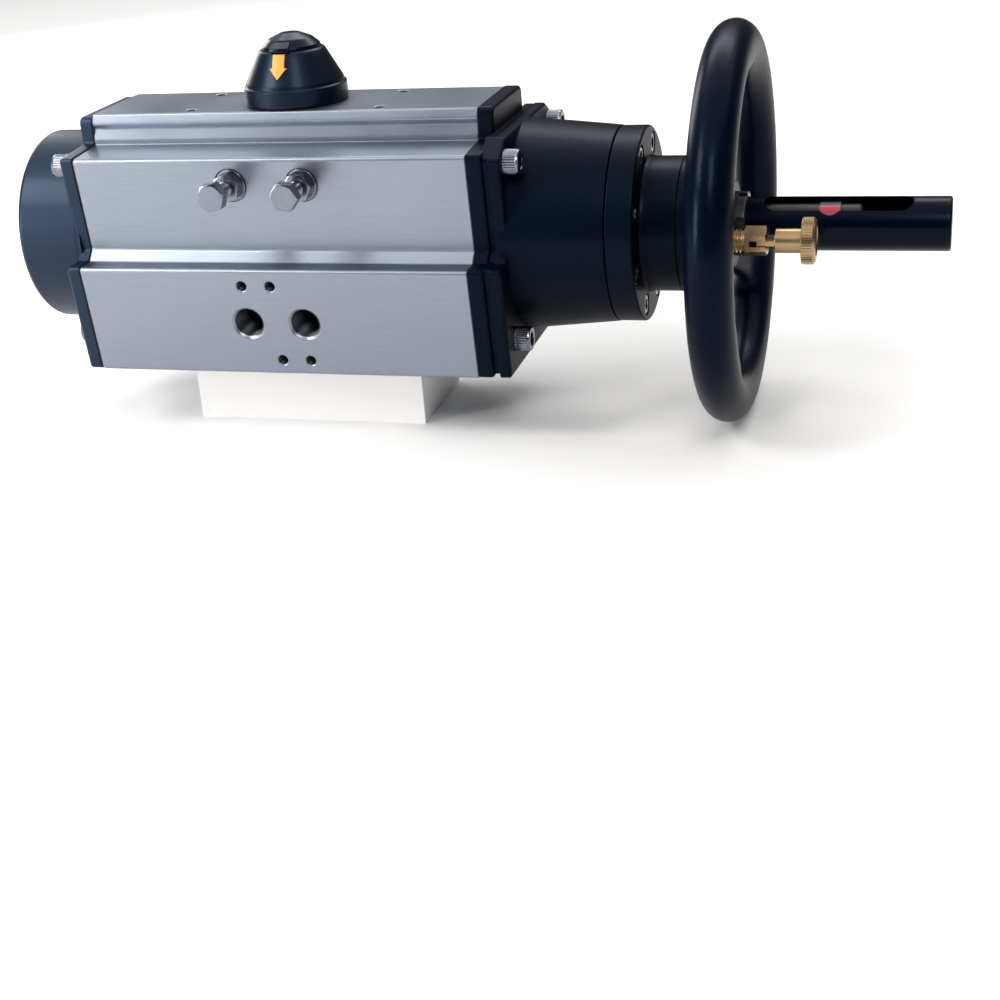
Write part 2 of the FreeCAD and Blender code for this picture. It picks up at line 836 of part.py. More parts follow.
def bearing_retainer():
    plate = along_x(neck_radius, neck_end, retainer_end)
    plate = plate.makeChamfer(0.6, [outer_circle(plate, V(retainer_end, 0, bore_height))])
    cuts = [along_x(sleeve_journal_radius + running_clearance, neck_end - 1, retainer_end + 1)]
    hole = along_x(lock_hole_radius, retainer_end - lock_hole_depth, retainer_end + 1,
                   0, bore_height + lock_circle_radius)
    for k in range(lock_hole_count):
        cuts.append(turned_x(hole, 360 * k / lock_hole_count))
    cuts += retainer_screw_holes(neck_end - 1, retainer_end + 1, loose_gap / 2)
    radius = retainer_screw_diameter / 2
    sink = screw_cone(retainer_end - countersink_depth, retainer_end + 0.1, radius + 0.1, countersink_radius)
    for k in range(retainer_screw_count):
        cuts.append(turned_x(sink, 45 + 360 * k / retainer_screw_count))
    return plate.cut(cuts)


def retainer_screws():
    radius = retainer_screw_diameter / 2
    height = bore_height + retainer_screw_height()
    shoulder = retainer_end - countersink_depth + 0.2
    head = screw_cone(shoulder, retainer_end - 0.2, radius, countersink_radius - 0.35)
    shank = along_x(radius, neck_end - retainer_screw_grip, shoulder, 0, height)
    socket = hexagon_prism(2.2, V(retainer_end, 0, height), 1.6, X_AXIS * -1)
    screw = head.fuse(shank).cut(socket)
    return Part.makeCompound([turned_x(screw, 45 + 360 * k / retainer_screw_count)
                              for k in range(retainer_screw_count)])


def thrust_washers():
    start = cover_face + bearing_start
    inner = sleeve_journal_radius + loose_gap
    first_end = start + bearing_washer_thickness
    second = first_end + 2 * thrust_play + sleeve_flange_thickness
    rings = [ring_x(bearing_washer_radius, inner, start, first_end),
             ring_x(bearing_washer_radius, inner, second, second + bearing_washer_thickness)]
    return Part.makeCompound(rings)


# ---- Bushes and travel stops ----
def lower_bush():
    return ring_z(lower_bush_radius, lower_journal_radius + running_clearance,
                  lower_bush_bottom + seat_gap, lower_journal_top)


def upper_bush():
    return ring_z(upper_bush_radius, upper_shaft_radius + running_clearance,
                  upper_bush_bottom, upper_bush_top)


def stop_bolt_places():
    return [V(x, 0, stop_bolt_height) for x in (-stop_bolt_offset, stop_bolt_offset)]


def stop_screws():
    out = Y_AXIS * -1
    radius = stop_bolt_diameter / 2
    head_start = stop_seat + stop_washer_thickness + stop_nut_thickness + stop_free_shank
    screws = []
    for place in stop_bolt_places():
        shank = cylinder(radius, place + out * stop_tip, head_start - stop_tip, out)
        head = hexagon_prism(stop_nut_width, place + out * head_start, stop_head_thickness, out, 30)
        crown = Part.makeCone(1.4 * stop_nut_width / 2 + stop_head_thickness, 0.47 * stop_nut_width,
                              1.07 * stop_head_thickness, place + out * head_start, out)
        screws.append(shank.fuse(head.common(crown)))
    return Part.makeCompound(screws)


def stop_nuts():
    out = Y_AXIS * -1
    start = stop_seat + stop_washer_thickness
    nuts = []
    for place in stop_bolt_places():
        nut = hexagon_prism(stop_nut_width, place + out * start, stop_nut_thickness, out, 10)
        hole = cylinder(stop_bolt_diameter / 2 + thread_clearance, place + out * (start - 1),
                        stop_nut_thickness + 2, out)
        nuts.append(nut.cut(hole))
    return Part.makeCompound(nuts)


def stop_washers():
    out = Y_AXIS * -1
    washers = []
    for place in stop_bolt_places():
        disc = cylinder(stop_washer_radius, place + out * stop_seat, stop_washer_thickness, out)
        hole = cylinder(stop_bolt_diameter / 2 + loose_gap, place + out * (stop_seat - 1),
                        stop_washer_thickness + 2, out)
        washers.append(disc.cut(hole))
    return Part.makeCompound(washers)


# ---- Pinion ----
def involute_angle(radius):
    """Roll angle past the base circle of an involute at the given radius."""
    if radius <= base_radius:
        return 0.0
    pressure = math.acos(base_radius / radius)
    return math.tan(pressure) - pressure


def flank_point(radius, centre_angle, side):
    """A point on one flank of the tooth that points along centre_angle."""
    half = math.pi / (2 * tooth_count) - backlash / (4 * pitch_radius)
    offset = half + involute_angle(pitch_radius) - involute_angle(radius)
    angle = centre_angle + side * offset
    return V(radius * math.cos(angle), radius * math.sin(angle), 0)


def gear_wire():
    step = 2 * math.pi / tooth_count
    middle = (base_radius + gear_tip_radius) / 2
    edges = []
    for k in range(tooth_count):
        centre = k * step
        rise = [flank_point(r, centre, -1) for r in (gear_root_radius, base_radius, middle, gear_tip_radius)]
        fall = [flank_point(r, centre, 1) for r in (gear_tip_radius, middle, base_radius, gear_root_radius)]
        tip = V(gear_tip_radius * math.cos(centre), gear_tip_radius * math.sin(centre), 0)
        valley = centre + step / 2
        floor = V(gear_root_radius * math.cos(valley), gear_root_radius * math.sin(valley), 0)
        following = flank_point(gear_root_radius, centre + step, -1)
        edges.append(Part.LineSegment(rise[0], rise[1]).toShape())
        edges.append(Part.Arc(rise[1], rise[2], rise[3]).toShape())
        edges.append(Part.Arc(rise[3], tip, fall[0]).toShape())
        edges.append(Part.Arc(fall[0], fall[1], fall[2]).toShape())
        edges.append(Part.LineSegment(fall[2], fall[3]).toShape())
        edges.append(Part.Arc(fall[3], floor, following).toShape())
    return Part.Wire(edges)


def star_socket():
    half = socket_width / 2
    square = box(-half, half, -half, half, -1, socket_depth)
    upright = [edge for edge in square.Edges if edge.BoundBox.ZLength > 1]
    square = square.makeFillet(socket_corner_round, upright)
    return square.fuse(turned_z(square, 45))


def ring_groove_z(height, outer, section):
    """Cut for a seal ring whose outer edge lies at the given radius."""
    floor = outer - 2 * section - seal_clearance
    half = section + 0.1
    return ring_z(outer + 5, floor, height - half, height + half)


def seal_ring_z(height, outer, section):
    return Part.makeTorus(outer - section, section, V(0, 0, height), Z_AXIS)


def lower_seal_height():
    return (lower_journal_bottom + lower_bush_bottom) / 2


def upper_seal_height():
    return (upper_bush_top + body_height) / 2


def pinion_shaft():
    gear = Part.Face(gear_wire()).extrude(V(0, 0, gear_top - gear_bottom))
    gear.translate(V(0, 0, gear_bottom))
    journal = along_z(lower_journal_radius, lower_journal_bottom, lower_journal_top)
    neck = along_z(pinion_neck_radius, lower_journal_top, gear_bottom)
    collar = along_z(pinion_neck_radius - 2, gear_top, cam_bottom)
    shaft = along_z(upper_shaft_radius, cam_bottom, pinion_top)
    shaft = shaft.makeChamfer(0.6, [outer_circle(shaft, V(0, 0, pinion_top))])
    cuts = [star_socket()]
    cuts.append(ring_groove_z(lower_seal_height(), lower_journal_radius, ring_section_radius))
    upper_land = upper_shaft_radius + running_clearance
    cuts.append(ring_groove_z(upper_seal_height(), upper_land, ring_section_radius))
    cuts.append(ring_z(upper_shaft_radius + 1, upper_shaft_radius - clip_groove_depth, *clip_span(0.1)))
    tap = indicator_screw_diameter / 2 + thread_clearance
    cuts.append(along_z(tap, pinion_top - indicator_screw_grip - 2, pinion_top + 1))
    half = top_slot_width / 2
    cuts.append(box(-15, 15, -half, half, pinion_top - top_slot_depth, pinion_top + 1))
    for side in (-1, 1):
        near = side * cam_flat
        far = side * (upper_shaft_radius + 1)
        cuts.append(box(min(near, far), max(near, far), -15, 15, cam_bottom, cam_top + 0.1))
    return gear.fuse([journal, neck, collar, shaft]).cut(cuts).removeSplitter()


def stop_cam():
    """Two flat faces a quarter turn apart meet the stop bolts at the ends of travel."""
    lobe = along_z(cam_radius, cam_bottom, cam_top)
    reach = cam_radius + 1
    lobe = lobe.cut([box(-reach, reach, -reach, -stop_tip + loose_gap / 2, cam_bottom - 1, cam_top + 1),
                     box(-reach, -stop_tip + loose_gap / 2, -reach, reach, cam_bottom - 1, cam_top + 1)])
    hub = along_z(cam_hub_radius, cam_bottom, cam_top)
    bore = along_z(upper_shaft_radius + seat_gap, cam_bottom - 1, cam_top + 1)
    flats = box(-cam_flat - seat_gap, cam_flat + seat_gap, -15, 15, cam_bottom - 1, cam_top + 1)
    cam = lobe.fuse(hub).cut(bore.common(flats)).removeSplitter()
    cam.translate(V(0, 0, seat_gap))
    return cam


def pinion_seals():
    lower = seal_ring_z(lower_seal_height(), lower_journal_radius, ring_section_radius)
    upper = seal_ring_z(upper_seal_height(), upper_shaft_radius + running_clearance, ring_section_radius)
    return Part.makeCompound([lower, upper])


def pinion_washer():
    return ring_z(washer_radius, upper_shaft_radius + 0.1, body_height + 0.1, body_height + 1.6)


def clip_span(extra):
    bottom = body_height + 1.7
    return bottom - extra, bottom + clip_thickness + extra


def pinion_clip():
    bottom, top = clip_span(0)
    clip = ring_z(upper_shaft_radius + 2.5, upper_shaft_radius - clip_groove_depth + seat_gap, bottom, top)
    half = clip_opening / 2
    return clip.cut(box(0, 30, -half, half, bottom - 1, top + 1))


# ---- Position indicator ----
def dome_base():
    bottom = dome_bottom
    ring_top = bottom + dome_ring_height
    ring = along_z(dome_radius, bottom, ring_top)
    cone = Part.makeCone(dome_radius - 0.5, dome_cone_top_radius, dome_cone_top - ring_top,
                         V(0, 0, ring_top), Z_AXIS)
    half = top_slot_width / 2 - 2 * seat_gap
    tongue = box(-tongue_reach, tongue_reach, -half, half, pinion_top - top_slot_depth + 0.2, dome_floor)
    cuts = [along_z(dome_cavity_radius, bottom - 1, bottom + dome_cavity_height)]
    cuts.append(along_z(upper_shaft_radius + 0.2, bottom, dome_floor))
    cuts.append(along_z(dome_well_radius, dome_floor + dome_floor_thickness, dome_cone_top + 1))
    shell = ring.fuse(cone).cut(cuts).fuse(tongue)
    screw_hole = along_z(indicator_screw_diameter / 2 + loose_gap, bottom, dome_cone_top)
    shell = shell.cut([screw_hole, arrow_solid(seat_gap)])
    return shell.removeSplitter()


def dome_cap():
    """Rounded top cap with a lip, plugged into the well of the base."""
    centre = dome_cone_top - cap_drop + cap_height - cap_sphere_radius
    ball = Part.makeSphere(cap_sphere_radius, V(0, 0, centre))
    keep = along_z(cap_rim_radius + 2, dome_cone_top + seat_gap, dome_cone_top + 20)
    plug = along_z(dome_well_radius - seat_gap, dome_cone_top - cap_plug_depth, dome_cone_top + 1)
    return ball.common(keep).fuse(plug).removeSplitter()


def arrow_solid(extra):
    """A raised arrow on the front of the cone, pointing down."""
    half = arrow_width / 2 + extra
    shaft = arrow_shaft_width / 2 + extra
    tip = arrow_bottom - extra
    top = arrow_bottom + arrow_length + extra
    barb = arrow_bottom + 0.45 * arrow_length
    points = [V(0, 0, tip), V(half, 0, barb), V(shaft, 0, barb), V(shaft, 0, top),
              V(-shaft, 0, top), V(-shaft, 0, barb), V(-half, 0, barb)]
    prism = polygon_face(points).extrude(V(0, -dome_radius, 0))
    ring_top = dome_bottom + dome_ring_height
    height = dome_cone_top - ring_top
    outer = Part.makeCone(dome_radius - 0.5 + arrow_relief, dome_cone_top_radius + arrow_relief,
                          height, V(0, 0, ring_top), Z_AXIS)
    depth = arrow_inset + extra
    inner = Part.makeCone(dome_radius - 0.5 - depth, dome_cone_top_radius - depth,
                          height, V(0, 0, ring_top), Z_AXIS)
    return prism.common(outer).cut(inner)


def dome_screw():
    seat = dome_floor + dome_floor_thickness
    length = seat - pinion_top + indicator_screw_grip
    return socket_screw(indicator_screw_diameter, length, V(0, 0, seat), Z_AXIS * -1)


# ---- Pistons ----
def rack_cuts():
    """Tooth spaces of the front rack, centred on whole pitches from the pinion axis."""
    slope = math.tan(math.radians(pressure_angle))
    space_at_pitch = rack_pitch / 4 + backlash / 4
    addendum = rack_addendum_share * module
    dedendum = 1.25 * module
    mouth = space_at_pitch + (addendum + 1) * slope
    floor = space_at_pitch - dedendum * slope
    outer = -(pitch_radius + dedendum)
    inner = -(pitch_radius - addendum - 1)
    z0 = bore_height - rack_half_height - 1
    cuts = []
    first = -math.ceil(rack_reach / rack_pitch)
    for n in range(first, 2):
        x = n * rack_pitch
        points = [V(x - mouth, inner, z0), V(x + mouth, inner, z0)]
        points += [V(x + floor, outer, z0), V(x - floor, outer, z0)]
        cuts.append(polygon_face(points).extrude(V(0, 0, 2 * rack_half_height + 2)))
    return cuts


def ring_groove_x(x, half, floor):
    return ring_x(piston_radius + 5, floor, x - half, x + half)


def piston():
    """The right piston: a disc with its rack in front of the pinion."""
    disc = along_x(piston_radius, piston_inner_face, piston_outer_face)
    addendum = rack_addendum_share * module
    bar = box(-rack_reach, piston_inner_face + 1, -rack_back, -(pitch_radius - addendum),
              bore_height - rack_half_height, bore_height + rack_half_height)
    bar = bar.cut(rack_cuts())
    seal_floor = bore_radius - 2 * (seal_clearance + piston_ring_section)
    cuts = [ring_groove_x(piston_inner_face + piston_ring_position, piston_ring_groove / 2, seal_floor)]
    cuts.append(ring_groove_x(piston_inner_face + guide_position, guide_width / 2,
                              bore_radius - 2 * seal_clearance - guide_thickness))
    return disc.cut(cuts).fuse(bar).removeSplitter()


def piston_seal():
    outer = bore_radius - seal_clearance
    centre = V(piston_inner_face + piston_ring_position, 0, bore_height)
    return Part.makeTorus(outer - piston_ring_section, piston_ring_section, centre, X_AXIS)


def piston_guide():
    centre = piston_inner_face + guide_position
    half = guide_width / 2 - seat_gap
    outer = bore_radius - seal_clearance
    band = ring_x(outer, outer - guide_thickness, centre - half, centre + half)
    split = box(centre - half - 1, centre + half + 1, -guide_split / 2, guide_split / 2,
                bore_height, bore_height + bore_radius + 1)
    return band.cut(split)


def rack_pad():
    """A slide pad between the rack's back and the cylinder wall."""
    start = -rack_reach + rack_pad_inset
    block = box(start, start + rack_pad_length, -bore_radius, -rack_back,
                bore_height - rack_pad_half_height, bore_height + rack_pad_half_height)
    return block.common(along_x(bore_radius - rack_pad_clearance, start - 1, start + rack_pad_length + 1))


def mirrored_piston(shape):
    """The left piston's copy: the right one turned half a turn about the pinion."""
    return turned_z(shape, 180)


def cage_screw_angles():
    return [45 + 90 * k for k in range(4)]


def right_piston():
    hole = along_x(cage_screw_diameter / 2 + thread_clearance, piston_outer_face - cage_screw_grip - 1,
                   piston_outer_face + 1, 0, bore_height + cage_screw_circle)
    return piston().cut([turned_x(hole, a) for a in cage_screw_angles()])


def lifting_cage():
    flange_end = piston_outer_face + cage_flange_thickness
    flange = along_x(cage_flange_radius, piston_outer_face, flange_end)
    barrel = along_x(cage_radius, flange_end - 1, cage_front)
    cuts = [along_x(cage_bore_radius, piston_outer_face + 2, cage_front + 1)]
    window = box(flange_end + 4, cage_front - cage_ring_thickness - 4, -cage_radius - 1, cage_radius + 1,
                 bore_height - cage_window_width / 2, bore_height + cage_window_width / 2)
    cuts.append(window)
    hole = along_x(cage_screw_diameter / 2 + loose_gap / 2, piston_outer_face - 1, flange_end + 1,
                   0, bore_height + cage_screw_circle)
    cuts += [turned_x(hole, a) for a in cage_screw_angles()]
    return flange.fuse(barrel).cut(cuts).removeSplitter()


def cage_screws():
    seat = V(piston_outer_face + cage_flange_thickness, 0, bore_height + cage_screw_circle)
    screw = socket_screw(cage_screw_diameter, cage_flange_thickness + cage_screw_grip, seat, X_AXIS * -1)
    return Part.makeCompound([turned_x(screw, a) for a in cage_screw_angles()])


def cage_ring():
    return ring_x(cage_bore_radius - seat_gap, spindle_radius + loose_gap,
                  cage_front - cage_ring_thickness, cage_front)


# ---- Springs ----
def left_spring():
    end = -plate_start - left_plate_thickness - left_pot_length + left_pot_floor
    return helix_spring(spring_radius, spring_wire, left_spring_turns,
                        end + seat_gap, -piston_outer_face - seat_gap, 0, bore_height)


def right_spring():
    end = bonnet_end - bonnet_seat_thickness
    return helix_spring(spring_radius, spring_wire, right_spring_turns,
                        piston_outer_face + seat_gap, end - seat_gap, 0, bore_height)


# ---- Spindle ----
def spindle():
    head = along_x(spindle_head_radius, spindle_head_start, spindle_head_end)
    rod = along_x(spindle_radius, spindle_head_end - 1, thread_end)
    tail = along_x(spindle_tail_radius, thread_end - 1, spindle_end)
    tail = tail.makeChamfer(0.8, [outer_circle(tail, V(spindle_end, 0, bore_height))])
    half = key_width / 2
    keyway = box(cover_start - piston_stroke - 1, cover_face, -half, half,
                 bore_height + spindle_radius - key_depth, bore_height + spindle_radius + 1)
    return head.fuse([rod, tail]).cut(keyway).removeSplitter()


def marker_ring():
    return ring_x(marker_radius, spindle_tail_radius + seat_gap, marker_start, marker_start + marker_width)


# ---- Handwheel ----
def drive_sleeve():
    flange_start = cover_face + bearing_start + bearing_washer_thickness + thrust_play
    body = along_x(sleeve_journal_radius, cover_face + 0.5, hub_back)
    flange = along_x(sleeve_flange_radius, flange_start, flange_start + sleeve_flange_thickness)
    spigot = along_x(sleeve_spigot_radius, hub_back - 1, sleeve_end)
    bore = along_x(spindle_radius + running_clearance, cover_face, sleeve_end + 1)
    half = hub_key_width / 2
    bottom = bore_height - sleeve_spigot_radius
    keyway = box(hub_back + 1, sleeve_end + 1, -half, half, bottom - 1, bottom + hub_key_half_height)
    return body.fuse([flange, spigot]).cut([bore, keyway]).removeSplitter()


def hub_key():
    half = hub_key_width / 2 - seat_gap
    reach = hub_key_half_height - seat_gap
    middle = bore_height - sleeve_spigot_radius
    return box(hub_back + 1 + seat_gap, sleeve_end - seat_gap, -half, half, middle - reach, middle + reach)


def spoke():
    """A dished arm from the hub's web up into the rim, pointing along +Z."""
    web_front = hub_back + web_thickness
    reach = rim_circle_radius - rim_half_height / 2
    inner = hub_radius - 4
    front = rim_plane + spoke_thickness / 2
    points = [V(hub_back, 0, inner), V(hub_back, 0, web_radius - 6)]
    points += [V(rim_plane - spoke_thickness / 2, 0, reach), V(front, 0, reach)]
    points += [V(web_front, 0, web_radius - 2), V(web_front, 0, inner)]
    side = polygon_face(points).extrude(V(0, 2 * spoke_half_width, 0))
    side.translate(V(0, -spoke_half_width, bore_height))
    long_edges = [e for e in side.Edges if e.BoundBox.YLength < 0.01 and e.Length > web_radius - 8]
    return side.makeFillet(2.2, long_edges)


def rim():
    major = max(rim_half_width, rim_half_height)
    minor = min(rim_half_width, rim_half_height)
    ellipse = Part.Ellipse(ORIGIN, major, minor).toShape()
    face = Part.Face(Part.Wire(ellipse))
    if rim_half_height > rim_half_width:
        face.rotate(ORIGIN, Z_AXIS, 90)
    face.rotate(ORIGIN, X_AXIS, 90)
    face.translate(V(rim_plane, 0, bore_height + rim_circle_radius))
    return face.revolve(V(0, 0, bore_height), X_AXIS, 360)


def handwheel():
    web = along_x(web_radius, hub_back, hub_back + web_thickness)
    web = web.makeFillet(2.0, [outer_circle(web, V(hub_back + web_thickness, 0, bore_height))])
    hub = along_x(hub_radius, hub_back, hub_front)
    boss = along_x(plunger_boss_radius, hub_back, plunger_boss_front, -lock_circle_radius)
    boss = boss.makeFillet(1.0, [outer_circle(boss, V(plunger_boss_front, -lock_circle_radius, bore_height))])
    arms = [turned_x(spoke(), 360 * k / spoke_count) for k in range(spoke_count)]
    solid = rim().fuse([web, hub, boss] + arms)
    cuts = [along_x(sleeve_spigot_radius + seat_gap, hub_back - 1, sleeve_end)]
    cuts.append(along_x(tube_radius + seat_gap, sleeve_end - 1, hub_front + 1))
    half = hub_key_width / 2
    middle = bore_height - sleeve_spigot_radius
    cuts.append(box(hub_back - 1, sleeve_end, -half, half,
                    middle - hub_key_half_height, middle + hub_key_half_height))
    cuts.append(along_x(plunger_thread_radius + thread_clearance, plunger_thread_start,
                        plunger_boss_front + 1, -lock_circle_radius))
    cuts.append(along_x(plunger_pin_radius + plunger_clearance, hub_back - 1, plunger_boss_front,
                        -lock_circle_radius))
    return solid.cut(cuts).removeSplitter()


def hub_lock_nut():
    nut = ring_x(lock_nut_radius, tube_radius + seat_gap, hub_front, hub_front + lock_nut_thickness)
    middle = hub_front + lock_nut_thickness / 2
    groove = ring_x(lock_nut_radius + 1, lock_nut_radius - 0.8, middle - 0.6, middle + 0.6)
    notch = box(hub_front + 1, hub_front + lock_nut_thickness + 1, -2, 2,
                bore_height + lock_nut_radius - 1.5, bore_height + lock_nut_radius + 1)
    return nut.cut([groove] + [turned_x(notch, 45 + 90 * k) for k in range(4)])


def position_tube():
    tube = ring_x(tube_radius, tube_bore_radius, sleeve_end + seat_gap, tube_end)
    half = tube_slot_width / 2
    first = tube_slot_start + half
    last = tube_slot_end - half
    slot = box(first, last, -half, half, bore_height, bore_height + 2 * tube_radius)
    ends = [cylinder(half, V(x, 0, bore_height), 2 * tube_radius, Z_AXIS) for x in (first, last)]
    window = cylinder(sight_window_radius, V(sight_window_place, 0, bore_height), 2 * tube_radius, Z_AXIS)
    cutters = [turned_x(slot.fuse(ends), 90 - tube_slot_angle), turned_x(window, 90 - sight_window_angle)]
    return tube.cut(cutters)


def tube_plug():
    inner = tube_bore_radius - seat_gap
    plug = along_x(inner, tube_end - plug_depth, tube_end + 1)
    cap = along_x(tube_radius, tube_end, tube_end + plug_thickness)
    cap = cap.makeFillet(1.6, [outer_circle(cap, V(tube_end + plug_thickness, 0, bore_height))])
    return plug.fuse(cap).removeSplitter()


# ---- Locking plunger, on an axis in front of the hub ----
def at_plunger(radius, x0, x1):
    return along_x(radius, x0, x1, -lock_circle_radius)


def plunger_body():
    thread = at_plunger(plunger_thread_radius, plunger_thread_start, plunger_hex_start + 1)
    hexagon = hexagon_prism(plunger_hex_width, V(plunger_hex_start, -lock_circle_radius, bore_height),
                            plunger_hex_end - plunger_hex_start, X_AXIS, 30)
    guard = at_plunger(plunger_hex_width / 2 + 0.5, plunger_hex_start - 1, plunger_hex_end + 1)
    hexagon = hexagon.common(guard)
    reach = plunger_hex_width
    half = plunger_slot_width / 2
    slot = box(plunger_slot_floor, plunger_hex_end + 1, -lock_circle_radius - reach,
               -lock_circle_radius + reach, bore_height - half, bore_height + half)
    bore = plunger_pin_radius + plunger_clearance
    cuts = [slot, at_plunger(bore, plunger_thread_start - 1, plunger_hex_end + 1)]
    cuts.append(at_plunger(plunger_chamber_radius, plunger_chamber_start, plunger_chamber_end))
    for k in range(thread_groove_count):
        x = plunger_boss_front + thread_groove_start + thread_groove_pitch * k
        groove = at_plunger(plunger_thread_radius + 1, x, x + thread_groove_width)
        cuts.append(groove.cut(at_plunger(plunger_thread_radius - thread_groove_depth, x - 1, x + 2)))
    return thread.fuse(hexagon).cut(cuts)


def plunger_collar_start():
    return plunger_chamber_start + plunger_inward_travel + plunger_collar_gap


def plunger_pin():
    tip = retainer_end + plunger_tip_gap
    shaft = at_plunger(plunger_pin_radius, tip, plunger_sleeve_start + 4)
    shaft = shaft.makeChamfer(0.4, [outer_circle(shaft, V(tip, -lock_circle_radius, bore_height))])
    start = plunger_collar_start()
    collar = at_plunger(plunger_collar_radius, start, start + plunger_collar_length)
    return shaft.fuse(collar).cut(blade_space())


def blade_space():
    half = plunger_blade_thickness / 2 + 0.02
    return box(plunger_blade_start - 0.05, plunger_blade_end + 0.1, -lock_circle_radius - 10,
               -lock_circle_radius + 10, bore_height - half, bore_height + half)


def plunger_blade():
    half = plunger_blade_thickness / 2
    width = plunger_blade_width / 2
    return box(plunger_blade_start, plunger_blade_end, -lock_circle_radius - width,
               -lock_circle_radius + width, bore_height - half, bore_height + half)


def plunger_knob():
    sleeve = at_plunger(plunger_sleeve_radius, plunger_sleeve_start, plunger_knob_start + 1)
    knob = at_plunger(plunger_knob_radius, plunger_knob_start, plunger_knob_end)
    front = outer_circle(knob, V(plunger_knob_end, -lock_circle_radius, bore_height))
    knob = knob.makeChamfer(plunger_knob_bevel, [front])
    bore = at_plunger(plunger_pin_radius + 0.02, plunger_sleeve_start - 1, plunger_sleeve_start + 4.1)
    cuts = [blade_space(), bore]
    half = knurl_width / 2
    top = bore_height + plunger_knob_radius
    notch = box(plunger_knob_start - 1, plunger_knob_end - 1, -lock_circle_radius - half,
                -lock_circle_radius + half, top - knurl_depth, top + 1)
    for k in range(knurl_count):
        copy = notch.copy()
        copy.rotate(V(0, -lock_circle_radius, bore_height), X_AXIS, 360 * k / knurl_count)
        cuts.append(copy)
    return sleeve.fuse(knob).cut(cuts)


def plunger_spring():
    start = plunger_collar_start() + plunger_collar_length
    radius = (plunger_chamber_radius + plunger_pin_radius) / 2
    return helix_spring(radius, plunger_spring_wire, plunger_spring_turns,
                        start + seat_gap, plunger_chamber_end - seat_gap, -lock_circle_radius, bore_height)


NODES = {
    "housing_body": housing_body,
    "left_gasket": lambda: gasket(-1),
    "right_gasket": lambda: gasket(1),
    "left_end_cap": left_end_cap,
    "left_cap_screws": left_cap_screws,
    "right_end_plate": right_end_plate,
    "override_bonnet": bonnet,
    "bonnet_screws": bonnet_screws,
    "override_cover": cover,
    "cover_screws": cover_screws,
    "spindle_key": spindle_key,
    "thrust_washers": thrust_washers,
    "bearing_retainer": bearing_retainer,
    "retainer_screws": retainer_screws,
    "pinion_lower_bush": lower_bush,
    "pinion_upper_bush": upper_bush,
    "stop_screws": stop_screws,
    "stop_lock_nuts": stop_nuts,
    "stop_washers": stop_washers,
    "pinion_shaft": pinion_shaft,
    "stop_cam": stop_cam,
    "pinion_seal_rings": pinion_seals,
    "pinion_thrust_washer": pinion_washer,
    "pinion_retaining_clip": pinion_clip,
    "indicator_base": dome_base,
    "indicator_cap": dome_cap,
    "indicator_arrow": lambda: arrow_solid(0.0),
    "indicator_screw": dome_screw,
    "right_piston": right_piston,
    "right_piston_seal": piston_seal,
    "right_piston_guide": piston_guide,
    "right_rack_pad": rack_pad,
    "left_piston": lambda: mirrored_piston(piston()),
    "left_piston_seal": lambda: mirrored_piston(piston_seal()),
    "left_piston_guide": lambda: mirrored_piston(piston_guide()),
    "left_rack_pad": lambda: mirrored_piston(rack_pad()),
    "lifting_cage": lifting_cage,
    "cage_screws": cage_screws,
    "cage_end_ring": cage_ring,
    "left_spring": left_spring,
    "right_spring": right_spring,
    "override_spindle": spindle,
    "position_marker": marker_ring,
    "drive_sleeve": drive_sleeve,
    "hub_key": hub_key,
    "handwheel": handwheel,
    "hub_lock_nut": hub_lock_nut,
    "position_tube": position_tube,
    "tube_end_plug": tube_plug,
    "plunger_body": plunger_body,
    "plunger_spring": plunger_spring,
    "plunger_pin": plunger_pin,
    "plunger_blade": plunger_blade,
    "plunger_knob": plunger_knob,
}

os.makedirs("parts", exist_ok=True)
for name, build in NODES.items():
    shape = build()
    shape.exportStep("parts/" + name + ".step")
    print(name, len(shape.Solids), round(shape.Volume, 1), shape.isValid())
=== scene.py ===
"""Looks of a rotary pneumatic actuator with a handwheel override.

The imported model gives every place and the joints. This script dresses it:
each operator builds one group of pieces, in metres, in the same frame
(+Z up, +X along the cylinder towards the handwheel, -Y towards the air ports).
Sizes inside the functions are in millimetres and are scaled when a mesh is made.
"""
import json
import math
from contextlib import contextmanager

import bmesh
import bpy
import numpy as np
from bpy.props import FloatProperty, FloatVectorProperty, IntProperty, PointerProperty
from mathutils import Matrix, Vector


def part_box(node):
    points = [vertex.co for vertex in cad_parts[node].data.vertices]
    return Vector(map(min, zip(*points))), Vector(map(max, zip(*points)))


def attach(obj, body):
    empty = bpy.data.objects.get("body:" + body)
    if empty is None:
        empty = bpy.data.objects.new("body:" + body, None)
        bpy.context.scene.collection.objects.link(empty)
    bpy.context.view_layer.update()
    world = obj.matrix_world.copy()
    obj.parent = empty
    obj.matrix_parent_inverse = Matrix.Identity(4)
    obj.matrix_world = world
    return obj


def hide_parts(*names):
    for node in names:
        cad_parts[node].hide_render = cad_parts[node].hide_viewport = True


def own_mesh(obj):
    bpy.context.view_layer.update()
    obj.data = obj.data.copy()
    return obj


bl_info = {
    "name": "Rotary Actuator Looks",
    "version": (1, 0, 0),
    "blender": (4, 5, 0),
    "location": "View3D > Sidebar > Actuator",
    "description": "Builds the pieces and finishes of a rotary pneumatic actuator",
    "category": "Object",
}

